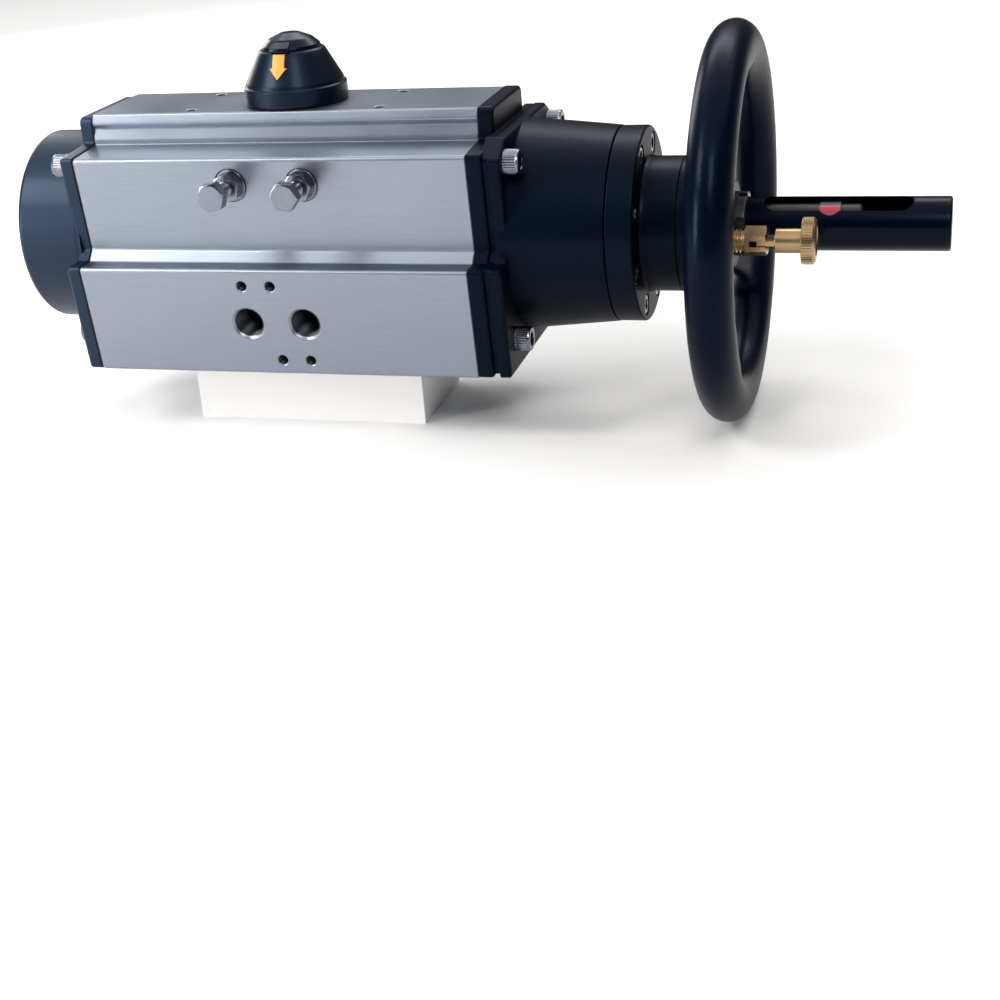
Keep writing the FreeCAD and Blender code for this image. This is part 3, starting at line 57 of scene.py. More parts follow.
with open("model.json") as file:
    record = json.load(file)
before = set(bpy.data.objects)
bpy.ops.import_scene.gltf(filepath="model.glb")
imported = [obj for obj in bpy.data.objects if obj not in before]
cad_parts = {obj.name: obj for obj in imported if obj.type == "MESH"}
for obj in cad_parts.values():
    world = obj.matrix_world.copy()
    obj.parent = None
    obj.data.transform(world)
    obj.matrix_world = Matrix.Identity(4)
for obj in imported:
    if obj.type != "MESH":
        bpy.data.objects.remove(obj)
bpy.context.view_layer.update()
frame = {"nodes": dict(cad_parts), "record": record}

MM = 0.001


def span(node):
    """Lowest and highest corner of a CAD node, in millimetres."""
    low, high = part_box(node)
    return low / MM, high / MM


# ---- Places read from the frame, in millimetres ----
BODY_LOW, BODY_HIGH = span("housing_body")
LEFT_LOW, LEFT_HIGH = span("left_end_cap")
PLATE_LOW, PLATE_HIGH = span("right_end_plate")
BONNET_LOW, BONNET_HIGH = span("override_bonnet")
COVER_LOW, COVER_HIGH = span("override_cover")
RING_LOW, RING_HIGH = span("bearing_retainer")
WHEEL_LOW, WHEEL_HIGH = span("handwheel")
NUT_LOW, NUT_HIGH = span("hub_lock_nut")
TUBE_LOW, TUBE_HIGH = span("position_tube")
PLUG_END = span("tube_end_plug")[1].x
KNOB_LOW, KNOB_HIGH = span("plunger_knob")
BRASS_LOW, BRASS_HIGH = span("plunger_body")
BLADE_LOW, BLADE_HIGH = span("plunger_blade")
DOME_LOW, DOME_HIGH = span("indicator_base")
CAP_TOP = span("indicator_cap")[1].z
STOP_FRONT = span("stop_screws")[0].y
AXIS_Z = (WHEEL_LOW.z + WHEEL_HIGH.z) / 2
PLUNGER_Y = (KNOB_LOW.y + KNOB_HIGH.y) / 2
AXIS = (0, 0, AXIS_Z)            # a point of the cylinder's and wheel's axis
LOCK_AXIS = (0, PLUNGER_Y, AXIS_Z)

# ---- Sizes shared by several pieces, in millimetres ----
LEFT_PLATE_FACE = -87.0          # outer face of the left cap's plate
BONNET_FLANGE = 4.7              # thickness of the bonnet's flange
CORNER_Y, CORNER_Z = (-35, 35), (13, 82.5)
CORNERS = [(y, z) for y in CORNER_Y for z in CORNER_Z]    # the four end screws
PORT_X = (-12, 12)               # the two air ports
PAD_HOLES = ((-12, 16), (0, 16), (0, -16), (12, -16))     # tapped holes round the ports
PAD_HOLE_RADIUS, PAD_HOLE_CHAMFER = 2.1, 0.35
TOP_HOLES = [(x, y) for x in (-40, 40) for y in (-15, 15)]
STOP_X, STOP_Z, STOP_FACE = 14.8, 76, -41.0               # travel stops in the front face
STOP_HOLE_RADIUS = 3.03
ROOM_RADIUS = 34.0               # room for a spring in the end castings
COVER_NECK, COVER_DISC = 14.4, 10.5                       # lengths of the cover's two parts
NECK_RADIUS = 26.2
COVER_SCREW_CIRCLE, COVER_SCREW_SINK = 31.6, 5.3
RETAINER_SCREW_CIRCLE, LOCK_CIRCLE = 23.1, 23.8
HUB_DEPTH = 13.5                 # hub and plunger boss, from the wheel's back
TUBE_RADIUS, TUBE_BORE = 10.3, 10.35                      # the tube, and the hole that takes it
SKIRT_SLOPE = 5.5 / 45.0         # lean of the lower front face
PAD_HEIGHT = 22.0                # the ports' centre above the foot


# ---- Mesh helpers ----
def add_object(name, data):
    """A new object of the scene around a mesh, a lamp or a camera."""
    obj = bpy.data.objects.new(name, data)
    bpy.context.scene.collection.objects.link(obj)
    return obj


@contextmanager
def editing(mesh):
    """The mesh opened for editing, and written back afterwards."""
    work = bmesh.new()
    work.from_mesh(mesh)
    yield work
    work.to_mesh(mesh)
    work.free()


def new_object(name, verts, faces):
    """A mesh object from points in millimetres, with its faces turned outwards."""
    mesh = bpy.data.meshes.new(name)
    mesh.from_pydata([Vector(v) * MM for v in verts], [], faces)
    with editing(mesh) as work:
        bmesh.ops.remove_doubles(work, verts=work.verts, dist=1e-7)
        bmesh.ops.recalc_face_normals(work, faces=work.faces)
    return add_object(name, mesh)


def freeze(obj):
    """Replaces the mesh by what its modifiers make of it."""
    graph = bpy.context.evaluated_depsgraph_get()
    old = obj.data
    made = bpy.data.meshes.new_from_object(obj.evaluated_get(graph))
    obj.modifiers.clear()
    obj.data = made
    made.name = obj.name
    bpy.data.meshes.remove(old)
    return obj


def boolean(obj, others, operation="DIFFERENCE"):
    """Cuts or joins closed meshes into obj and removes them."""
    for other in others:
        step = obj.modifiers.new("cut", "BOOLEAN")
        step.operation = operation
        step.solver = "MANIFOLD"
        step.object = other
        freeze(obj)
        bpy.data.objects.remove(other)
    return obj


def soften(obj, width, segments=2, limit=40.0):
    """Rounds the sharp edges a little, in millimetres."""
    step = obj.modifiers.new("edges", "BEVEL")
    step.width = width * MM
    step.segments = segments
    step.limit_method = "ANGLE"
    step.angle_limit = math.radians(limit)
    step.miter_outer = "MITER_ARC"
    return freeze(obj)


def smooth(obj, sharp=35.0):
    """Smooth shading with flat faces kept flat and true corners kept sharp."""
    mesh = obj.data
    mesh.shade_smooth()
    mesh.set_sharp_from_angle(angle=math.radians(sharp))
    step = obj.modifiers.new("normals", "WEIGHTED_NORMAL")
    step.keep_sharp = True
    step.weight = 100
    return freeze(obj)


def finish_piece(obj, body, slot, material, *nodes):
    """Gives a piece its material, its body and the nodes that it stands for."""
    obj.data.materials.clear()
    obj.data.materials.append(material)
    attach(obj, body)
    if nodes:
        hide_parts(*nodes)


def arc_points(corners, steps=5):
    """A closed outline with each (u, v, radius) corner rounded by an arc."""
    points = []
    count = len(corners)
    for k in range(count):
        here = Vector(corners[k][:2])
        before = Vector(corners[k - 1][:2]) - here
        after = Vector(corners[(k + 1) % count][:2]) - here
        half = before.angle(after) / 2
        radius = corners[k][2]
        if radius < 0.01 or half > math.radians(89.5):
            points.append(here)
            continue
        radius = min(radius, 0.45 * min(before.length, after.length) * math.tan(half))
        inwards = (before.normalized() + after.normalized()).normalized()
        middle = here + inwards * (radius / math.sin(half))
        start = here + before.normalized() * (radius / math.tan(half)) - middle
        end = here + after.normalized() * (radius / math.tan(half)) - middle
        turn = start.angle_signed(end)
        points += [middle + Matrix.Rotation(-turn * n / steps, 2) @ start for n in range(steps + 1)]
    return points


def extrusion(name, outline, x0, x1, edges, steps=3):
    """A prism along X over a (y, z) outline, with the edges of its two ends rounded."""
    count = len(outline)
    verts = [(x, p[0], p[1]) for x in (x0, x1) for p in outline]
    faces = [list(range(count)), list(range(2 * count - 1, count - 1, -1))]
    for k in range(count):
        after = (k + 1) % count
        faces.append([k, k + count, after + count, after])
    obj = new_object(name, verts, faces)
    with editing(obj.data) as work:
        for place, width in zip((x0, x1), edges):
            if width > 0:
                ring = [e for e in work.edges
                        if all(abs(v.co.x - place * MM) < 1e-7 for v in e.verts)]
                bmesh.ops.bevel(work, geom=ring, offset=width * MM, segments=steps,
                                profile=0.5, affect="EDGES", clamp_overlap=False)
    return obj


def lathe(name, profile, centre=(0, 0, 0), axis="X", count=96):
    """A closed (along, radius) profile turned about an axis through centre."""
    verts = []
    for k in range(count):
        angle = 2 * math.pi * k / count
        for along, radius in profile:
            u, v = radius * math.cos(angle), radius * math.sin(angle)
            point = {"X": (along, u, v), "Y": (v, along, u), "Z": (u, v, along)}[axis]
            verts.append([p + c for p, c in zip(point, centre)])
    size = len(profile)
    faces = []
    for k in range(count):
        here, there = k * size, ((k + 1) % count) * size
        for n in range(size):
            after = (n + 1) % size
            ring = [here + n, here + after, there + after, there + n]
            on_axis = profile[n][1] < 1e-6, profile[after][1] < 1e-6
            if all(on_axis):
                continue
            if on_axis[0]:
                ring.pop(3)
            elif on_axis[1]:
                ring.pop(2)
            faces.append(ring)
    return new_object(name, verts, faces)


def turned(name, corners, centre=(0, 0, 0), axis="X", count=96, steps=4):
    """A turned part from (along, radius, rounding) corners."""
    return lathe(name, [tuple(p) for p in arc_points(corners, steps)], centre, axis, count)


def rod(name, radius, a0, a1, centre=(0, 0, 0), axis="X", count=48):
    """A plain round bar, for cutting."""
    return lathe(name, [(a0, 0), (a1, 0), (a1, radius), (a0, radius)], centre, axis, count)


def block(name, low, high):
    """A box between two corners."""
    verts = [(x, y, z) for x in (low[0], high[0]) for y in (low[1], high[1]) for z in (low[2], high[2])]
    faces = [(0, 1, 3, 2), (4, 6, 7, 5), (0, 4, 5, 1), (2, 3, 7, 6), (0, 2, 6, 4), (1, 5, 7, 3)]
    return new_object(name, verts, faces)


def move(obj, *offset):
    """Moves the mesh itself, in millimetres."""
    obj.data.transform(Matrix.Translation(Vector(offset) * MM))
    return obj


def lay_along_x(obj, side=1):
    """Tips a mesh built along +Z over to +X, or to -X with side -1."""
    obj.data.transform(Matrix.Rotation(math.radians(90 * side), 4, "Y"))
    return obj


def spin_about(obj, centre, axis, degrees):
    """Turns the mesh itself about an axis through centre, in millimetres."""
    place = Matrix.Translation(Vector(centre) * MM)
    turn = Matrix.Rotation(math.radians(degrees), 4, axis)
    obj.data.transform(place @ turn @ place.inverted())
    return obj


def aim(obj, place, direction):
    """Moves a mesh built along +Z from the origin to place, pointing along direction."""
    turn = Vector(direction).to_track_quat("Z", "Y").to_matrix().to_4x4()
    obj.data.transform(Matrix.Translation(Vector(place) * MM) @ turn)
    return obj


def threaded_profile(radius, start, end, pitch, depth):
    """A closed (along, radius) profile of a solid screw with thread ridges."""
    root = radius - depth
    points = [(start, 0.0), (start, root)]
    place = start
    while place + pitch <= end + 1e-6:
        points += [(place + 0.12 * pitch, root), (place + 0.45 * pitch, radius),
                   (place + 0.55 * pitch, radius), (place + 0.88 * pitch, root)]
        place += pitch
    return points + [(end, root), (end, 0.0)]


def on_circle(count, radius, first=0.0):
    """The (y, z) offsets of places on a circle about X, from the top round to -Y."""
    for k in range(count):
        angle = math.radians(first + 360 / count * k)
        yield -radius * math.sin(angle), radius * math.cos(angle)


# ---- Node trees for what repeats ----
def fill(tree, node, inputs):
    """Sets a node's inputs, by name or number, to values, or links them to other nodes' outputs."""
    for name, value in inputs.items():
        if isinstance(value, bpy.types.NodeSocket):
            tree.links.new(value, node.inputs[name])
        else:
            node.inputs[name].default_value = value


def add_node(tree, kind, place, inputs=None, **settings):
    """A node with its settings, its input values and its links."""
    made = tree.nodes.new(kind)
    made.location = place
    for name, value in settings.items():
        setattr(made, name, value)
    fill(tree, made, inputs or {})
    return made


def start_tree(name, inputs):
    """A geometry tree with (name, kind, default) inputs, and what its group inputs give."""
    tree = bpy.data.node_groups.new(name, "GeometryNodeTree")
    tree.interface.new_socket(name="Geometry", in_out="INPUT", socket_type="NodeSocketGeometry")
    tree.interface.new_socket(name="Geometry", in_out="OUTPUT", socket_type="NodeSocketGeometry")
    entry = add_node(tree, "NodeGroupInput", (-900, 0))
    for label, kind, default in (*inputs, ("Material", "Material", None)):
        made = tree.interface.new_socket(name=label, in_out="INPUT", socket_type="NodeSocket" + kind)
        if default is not None:
            made.default_value = default
    return tree, entry.outputs


def end_tree(tree, given, shape):
    """Realize Instances, then Set Material, then the output."""
    plain = add_node(tree, "GeometryNodeRealizeInstances", (500, 0), {"Geometry": shape})
    paint = add_node(tree, "GeometryNodeSetMaterial", (700, 0),
                     {"Geometry": plain.outputs["Geometry"], "Material": given["Material"]})
    add_node(tree, "NodeGroupOutput", (900, 0), {"Geometry": paint.outputs["Geometry"]})
    return tree


def copies_of(tree, piece, points, turn_x):
    """The piece on every point, turned about X by the angle of that point."""
    turn = add_node(tree, "ShaderNodeCombineXYZ", (-100, -150), {"X": turn_x})
    info = add_node(tree, "GeometryNodeObjectInfo", (-300, 0), {"Object": piece})
    copies = add_node(tree, "GeometryNodeInstanceOnPoints", (200, 0),
                      {"Points": points, "Instance": info.outputs["Geometry"],
                       "Rotation": turn.outputs["Vector"]})
    return copies.outputs["Instances"]


def circle_tree():
    """Copies of a piece turned about the X direction through a centre."""
    tree, given = start_tree("Repeat on a circle", (
        ("Piece", "Object", None), ("Count", "Int", 4), ("First Angle", "Float", 0.0),
        ("Centre", "Vector", None)))
    line = add_node(tree, "GeometryNodeMeshLine", (-500, 200),
                    {"Offset": (0, 0, 0), "Count": given["Count"], "Start Location": given["Centre"]})
    index = add_node(tree, "GeometryNodeInputIndex", (-700, -200))
    step = add_node(tree, "ShaderNodeMath", (-500, -100), {0: 2 * math.pi, 1: given["Count"]},
                    operation="DIVIDE")
    angle = add_node(tree, "ShaderNodeMath", (-300, -150),
                     {0: index.outputs["Index"], 1: step.outputs[0], 2: given["First Angle"]},
                     operation="MULTIPLY_ADD")
    return end_tree(tree, given, copies_of(tree, given["Piece"], line.outputs["Mesh"], angle.outputs[0]))


def points_tree():
    """Copies of a piece on the object's own points, each spun by chance about X."""
    tree, given = start_tree("Repeat on points", (
        ("Piece", "Object", None), ("Seed", "Int", 1), ("Spin", "Float", 1.0)))
    chance = add_node(tree, "FunctionNodeRandomValue", (-400, -200), {"Seed": given["Seed"]},
                      data_type="FLOAT")
    highest = [s for s in chance.inputs if s.type == "VALUE" and s.enabled][1]
    tree.links.new(given["Spin"], highest)
    drawn = [s for s in chance.outputs if s.enabled][0]
    return end_tree(tree, given, copies_of(tree, given["Piece"], given["Geometry"], drawn))


def coil_tree():
    """A wire wound about X from the origin."""
    tree, given = start_tree("Wound wire", (
        ("Coil Radius", "Float", 0.028), ("Length", "Float", 0.05), ("Turns", "Float", 6.0),
        ("Wire Radius", "Float", 0.002)))
    spiral = add_node(tree, "GeometryNodeCurveSpiral", (-500, 100),
                      {"Resolution": 48, "Rotations": given["Turns"], "Start Radius": given["Coil Radius"],
                       "End Radius": given["Coil Radius"], "Height": given["Length"]})
    ring = add_node(tree, "GeometryNodeCurvePrimitiveCircle", (-500, -150),
                    {"Resolution": 16, "Radius": given["Wire Radius"]})
    sweep = add_node(tree, "GeometryNodeCurveToMesh", (-250, 0),
                     {"Fill Caps": True, "Curve": spiral.outputs["Curve"],
                      "Profile Curve": ring.outputs["Curve"]})
    turn = add_node(tree, "GeometryNodeTransform", (0, 0),
                    {"Rotation": (0, math.pi / 2, 0), "Geometry": sweep.outputs["Mesh"]})
    return end_tree(tree, given, turn.outputs["Geometry"])


def shared(name, build):
    """A node group that is built the first time it is asked for."""
    return bpy.data.node_groups.get(name) or build()


def run_tree(name, tree, points, values):
    """A plain mesh from a node tree. Values are given by the input's name."""
    mesh = bpy.data.meshes.new(name)
    mesh.from_pydata([Vector(p) * MM for p in points], [], [])
    obj = add_object(name, mesh)
    step = obj.modifiers.new("repeat", "NODES")
    step.node_group = tree
    for item in tree.interface.items_tree:
        if item.in_out == "INPUT" and item.name in values:
            step[item.identifier] = values[item.name]
    freeze(obj)
    with editing(obj.data) as work:
        bmesh.ops.recalc_face_normals(work, faces=work.faces)
    if "Piece" in values:
        bpy.data.objects.remove(values["Piece"])
    return obj


def around(name, piece, count, first, centre, material):
    """Copies of a piece on a circle about X; the piece is modelled about the origin."""
    values = {"Piece": piece, "Count": count, "First Angle": math.radians(first),
              "Centre": [c * MM for c in centre], "Material": material}
    return run_tree(name, shared("Repeat on a circle", circle_tree), [(0, 0, 0)], values)


def at_points(name, piece, points, seed, spin, material):
    """Copies of a piece on these points, each spun about X by up to spin degrees."""
    values = {"Piece": piece, "Seed": seed, "Spin": math.radians(spin), "Material": material}
    return run_tree(name, shared("Repeat on points", points_tree), points, values)


# ---- Shader node groups ----
def start_group(name, inputs, outputs):
    """A shader group with (name, kind, default) inputs: what they give, and its output node."""
    group = bpy.data.node_groups.new(name, "ShaderNodeTree")
    for label, kind, default in inputs:
        made = group.interface.new_socket(name=label, in_out="INPUT", socket_type="NodeSocket" + kind)
        made.default_value = default
    for label in outputs:
        group.interface.new_socket(name=label, in_out="OUTPUT", socket_type="NodeSocketFloat")
    entry = add_node(group, "NodeGroupInput", (-900, 0))
    place = add_node(group, "ShaderNodeTexCoord", (-800, 200))
    leave = add_node(group, "NodeGroupOutput", (700, 0))
    return group, entry.outputs, place.outputs["Object"], leave


def grain_group():
    """Stretched noise on the piece's own coordinates, as a mask around one half."""
    group, given, place, leave = start_group(
        "Surface grain", (("Stretch", "Vector", (1, 1, 1)), ("Scale", "Float", 1000.0),
                          ("Detail", "Float", 2.0)), ("Mask",))
    grid = add_node(group, "ShaderNodeMapping", (-450, 100), {"Vector": place, "Scale": given["Stretch"]})
    noise = add_node(group, "ShaderNodeTexNoise", (-200, 0),
                     {"Vector": grid.outputs["Vector"], "Scale": given["Scale"], "Detail": given["Detail"]})
    fill(group, leave, {"Mask": noise.outputs["Fac"]})
    return group


def handling_group():
    """Broad soft patches and small specks, as left by hands and dust."""
    group, given, place, leave = start_group(
        "Handling marks", (("Patch Scale", "Float", 30.0), ("Speck Scale", "Float", 900.0)),
        ("Patches", "Specks"))
    broad = add_node(group, "ShaderNodeTexNoise", (-400, 200),
                     {"Vector": place, "Scale": given["Patch Scale"], "Detail": 3.0})
    fine = add_node(group, "ShaderNodeTexNoise", (-400, -150),
                    {"Vector": place, "Scale": given["Speck Scale"], "Detail": 0.0})
    specks = add_node(group, "ShaderNodeMapRange", (0, -150),
                      {"Value": fine.outputs["Fac"], "From Min": 0.70, "From Max": 0.76})
    fill(group, leave, {"Patches": broad.outputs["Fac"], "Specks": specks.outputs["Result"]})
    return group


def rings_group():
    """Fine turning marks about the X direction, as a height."""
    group, given, place, leave = start_group(
        "Turning marks", (("Centre", "Vector", (0, 0, 0)), ("Scale", "Float", 300.0)), ("Height",))
    offset = add_node(group, "ShaderNodeVectorMath", (-600, 100), {0: place, 1: given["Centre"]},
                      operation="SUBTRACT")
    wave = add_node(group, "ShaderNodeTexWave", (-300, 0),
                    {"Vector": offset.outputs["Vector"], "Scale": given["Scale"], "Distortion": 0.6,
                     "Detail": 2.0}, wave_type="RINGS", rings_direction="X")
    fill(group, leave, {"Height": wave.outputs["Fac"]})
    return group


def use_group(tree, name, build, place, **values):
    """A shared group's outputs; values are its inputs."""
    inputs = {label.replace("_", " "): value for label, value in values.items()}
    return add_node(tree, "ShaderNodeGroup", place, inputs, node_tree=shared(name, build)).outputs


def grain(tree, place=(-900, 200), **values):
    """The mask of a surface grain with its own values."""
    return use_group(tree, "Surface grain", grain_group, place, **values)["Mask"]


def handling(tree, place=(-900, -150), **values):
    """The patches and specks of handling marks with their own values."""
    return use_group(tree, "Handling marks", handling_group, place, **values)


# ---- Materials ----
def blank_material(name, metallic, **values):
    """A new material with its shader; values are the shader's own sockets."""
    made = bpy.data.materials.new(name)
    made.use_nodes = True
    shader = made.node_tree.nodes["Principled BSDF"]
    shader.inputs["Metallic"].default_value = metallic
    for label, value in values.items():
        shader.inputs[label.replace("_", " ")].default_value = value
    return made, made.node_tree, shader


def tint(color, share):
    """A colour made lighter or darker, with its fourth value."""
    return [min(1.0, c * share) for c in color[:3]] + [1.0]


def colour_between(tree, mask, low, high, place):
    """A mix of two colours by a mask."""
    mix = add_node(tree, "ShaderNodeMix", place, data_type="RGBA")
    fill(tree, mix, {0: mask, 6: low, 7: high})
    return mix.outputs[2]


def value_between(tree, mask, low, high, place=(-500, -100), edge=(0.3, 0.7)):
    """The mask's middle part spread over a range of values."""
    spread = add_node(tree, "ShaderNodeMapRange", place,
                      {"Value": mask, "From Min": edge[0], "From Max": edge[1],
                       "To Min": low, "To Max": high})
    return spread.outputs["Result"]


def bump(tree, shader, height, strength, distance, place=(-200, -400), under=None):
    """Relief on the shader's normal, over another one where it is given."""
    made = add_node(tree, "ShaderNodeBump", place,
                    {"Strength": strength, "Distance": distance, "Height": height})
    if under is not None:
        tree.links.new(under, made.inputs["Normal"])
    tree.links.new(made.outputs["Normal"], shader.inputs["Normal"])
    return made.outputs["Normal"]


def anodised(name, color, roughness):
    """Satin anodised aluminium: fine grain drawn along the extrusion, and painted shade in the tapped holes.
    """
    made, tree, shader = blank_material(name, 1.0)
    lines = grain(tree, Stretch=(0.03, 1, 1), Scale=2600.0, Detail=3.0)
    grit = grain(tree, (-900, -50), Scale=5200.0, Detail=1.0)
    marks = handling(tree, (-900, -300), Patch_Scale=22.0)
    shade = add_node(tree, "ShaderNodeMath", (-650, 100), {0: lines, 1: grit}, operation="ADD").outputs[0]
    mask = value_between(tree, shade, 0.0, 1.0, (-450, 100), (0.7, 1.3))
    skin = colour_between(tree, mask, tint(color, 0.93), tint(color, 1.05), (-250, 200))
    # painted shade: the walls of the tapped holes are darkened to 0.14 of the housing colour, standing in for
    # the shade inside them
    holes = add_node(tree, "ShaderNodeAttribute", (-450, 400), attribute_name="hole_wall").outputs["Fac"]
    fill(tree, shader, {
        "Base Color": colour_between(tree, holes, skin, tint(color, 0.14), (-50, 250)),
        "Roughness": value_between(tree, marks["Patches"], roughness - 0.03, roughness + 0.05)})
    bump(tree, shader, shade, 0.18, 0.00006)
    return made


def coated(name, color, roughness, coat, peel=0.12, peel_scale=420.0, shine=0.09):
    """Dark coating on a casting: soft orange peel, patches in the gloss, a few specks."""
    made, tree, shader = blank_material(name, 0.0, Coat_Weight=coat, Coat_Roughness=0.14, IOR=1.5,
                                        Specular_IOR_Level=shine, Specular_Tint=(0.38, 0.62, 1.0, 1.0))
    marks = handling(tree, Patch_Scale=18.0, Speck_Scale=1100.0)
    soft = colour_between(tree, marks["Patches"], tint(color, 0.85), tint(color, 1.2), (-500, 250))
    dust = [c * 1.6 + 0.001 for c in color[:3]]
    fill(tree, shader, {
        "Base Color": colour_between(tree, marks["Specks"], soft, tint(dust, 1.0), (-250, 200)),
        "Roughness": value_between(tree, marks["Patches"], roughness - 0.04, roughness + 0.06)})
    bump(tree, shader, grain(tree, Scale=peel_scale, Detail=2.0), peel, 0.0001)
    return made


def machined(name, color, roughness, centre=None, ring_scale=320.0, scratches=3800.0, metallic=1.0):
    """Bare or plated metal: fine scratches, and turning marks where a centre is given."""
    made, tree, shader = blank_material(name, metallic)
    scratch = grain(tree, Stretch=(1, 0.25, 1), Scale=scratches, Detail=4.0)
    marks = handling(tree, Patch_Scale=90.0, Speck_Scale=2600.0)
    mask = value_between(tree, scratch, 0.0, 1.0, (-650, 250))
    fill(tree, shader, {
        "Base Color": colour_between(tree, mask, tint(color, 0.82), tint(color, 1.08), (-400, 250)),
        "Roughness": value_between(tree, marks["Patches"], roughness - 0.05, roughness + 0.09)})
    under = bump(tree, shader, scratch, 0.12, 0.00005)
    if centre is not None:
        rings = use_group(tree, "Turning marks", rings_group, (-900, -450),
                          Centre=[c * MM for c in centre], Scale=ring_scale)
        bump(tree, shader, rings["Height"], 0.25, 0.00005, (-50, -600), under)
    return made


def moulded(name, color, roughness, spread=0.12, scale=1500.0):
    """Moulded plastic or rubber with a fine texture and slight colour patches."""
    made, tree, shader = blank_material(name, 0.0)
    texture = grain(tree, Scale=scale, Detail=2.0)
    marks = handling(tree, Patch_Scale=60.0, Speck_Scale=2200.0)
    fill(tree, shader, {
        "Base Color": colour_between(tree, marks["Patches"], tint(color, 1 - spread),
                                     tint(color, 1 + spread), (-500, 250)),
        "Roughness": value_between(tree, texture, roughness - 0.05, roughness + 0.07)})
    bump(tree, shader, texture, 0.15, 0.00008)
    return made


# ---- Section outlines across the cylinder, as (y, z, rounding) ----
PAD_OUT = Vector((0, -1, -SKIRT_SLOPE)).normalized()
PAD_UP = Vector((0, -SKIRT_SLOPE, 1)).normalized()


def side_corners(grow, foot):
    """The stepped flank from the shoulder down to the foot."""
    return [(43.0 + grow, 86.7 + grow, 1.6), (39.2 + grow, 49.2, 1.6), (43.2 + grow, 45.0 + grow, 1.6),
            (52.0 + grow, 45.0 + grow, 1.6), (46.5 + grow + SKIRT_SLOPE * foot, foot, 1.6)]


def both_sides(half):
    """A closed outline from its +Y half, listed from the top down."""
    return arc_points(half + [(-y, z, r) for y, z, r in reversed(half)])


def body_outline():
    """The extrusion: a neck with two soft swells, the shoulders and the stepped flanks."""
    top = BODY_HIGH.z
    neck = [(20.6, top, 1.0), (22.1, top - 3.8, 2.4), (21.1, top - 5.8, 2.0),
            (22.4, top - 9.8, 2.4), (22.4, top - 12.0, 0.3)]
    return both_sides(neck + side_corners(0.0, 0.0))


def plate_outline(neck_top):
    """The end plates stand a little proud of the body's flanks."""
    neck = [(22.4, neck_top, 3.0), (22.4, BODY_HIGH.z - 11.6, 1.6)]
    return both_sides(neck + side_corners(0.4, 0.5))


def flange_outline(inset=0.0):
    """The bonnet's flange, without a neck and with sloped shoulders."""
    corners = [(32.0, 91.0, 2.0), (43.4, 85.0, 1.6)] + side_corners(0.4, 0.5)[1:]
    return both_sides([(y - inset, max(z, inset), r) for y, z, r in corners])


# ---- Housing ----
def tapped_hole(name, radius, depth, chamfer, pitch):
    """Room for a tapped hole: mouth at the origin, opening along +Z."""
    points = [(-depth, 0.0), (-depth, radius)]
    place = -depth + pitch
    while place + pitch < -chamfer:
        points += [(place, radius), (place + 0.4 * pitch, radius + 0.5 * pitch),
                   (place + 0.6 * pitch, radius + 0.5 * pitch)]
        place += pitch
    points += [(place, radius), (-chamfer, radius), (-0.12, radius + chamfer - 0.12),
               (0.0, radius + chamfer + 0.2), (2.0, radius + chamfer + 2.2), (2.0, 0.0)]
    return lathe(name, points, axis="Z", count=64)


def on_pad(x, up):
    """A point of the slanted lower front face, from the pad's centre."""
    centre = Vector((0, -(46.5 + SKIRT_SLOPE * PAD_HEIGHT), PAD_HEIGHT))
    return centre + Vector((x, 0, 0)) + PAD_UP * up


def mark_holes(body, chamfer):
    """Marks the walls of the tapped holes as 1 on their points; the housing's finish paints shade there."""
    reach, small_radius, small_start = 15, 2.9, 0.45
    holes = [(on_pad(x, 0), PAD_OUT, 7.5, chamfer + 0.1) for x in PORT_X]
    holes += [(on_pad(x, up), PAD_OUT, small_radius, small_start) for x, up in PAD_HOLES]
    holes += [(Vector((x, y, BODY_HIGH.z)), Vector((0, 0, 1)), small_radius, small_start)
              for x, y in TOP_HOLES]
    marks = body.data.attributes.new("hole_wall", "FLOAT", "POINT")
    for vertex in body.data.vertices:
        for mouth, outwards, radius, start in holes:
            offset = vertex.co / MM - mouth
            height = offset.dot(outwards)
            if -reach < height < -start and (offset - outwards * height).length < radius:
                marks.data[vertex.index].value = 1.0


def valve_holes():
    """Tapped holes in the foot, on the two standard bolt circles of a valve flange."""
    for circle, radius, depth in ((50, 2.5, 11), (70, 3.4, 13)):
        for k in range(4):
            angle = math.radians(45 + 90 * k)
            place = (circle / 2 * math.cos(angle), circle / 2 * math.sin(angle), 0)
            yield aim(tapped_hole("flange hole", radius, depth, 0.6, 1.0), place, (0, 0, -1))


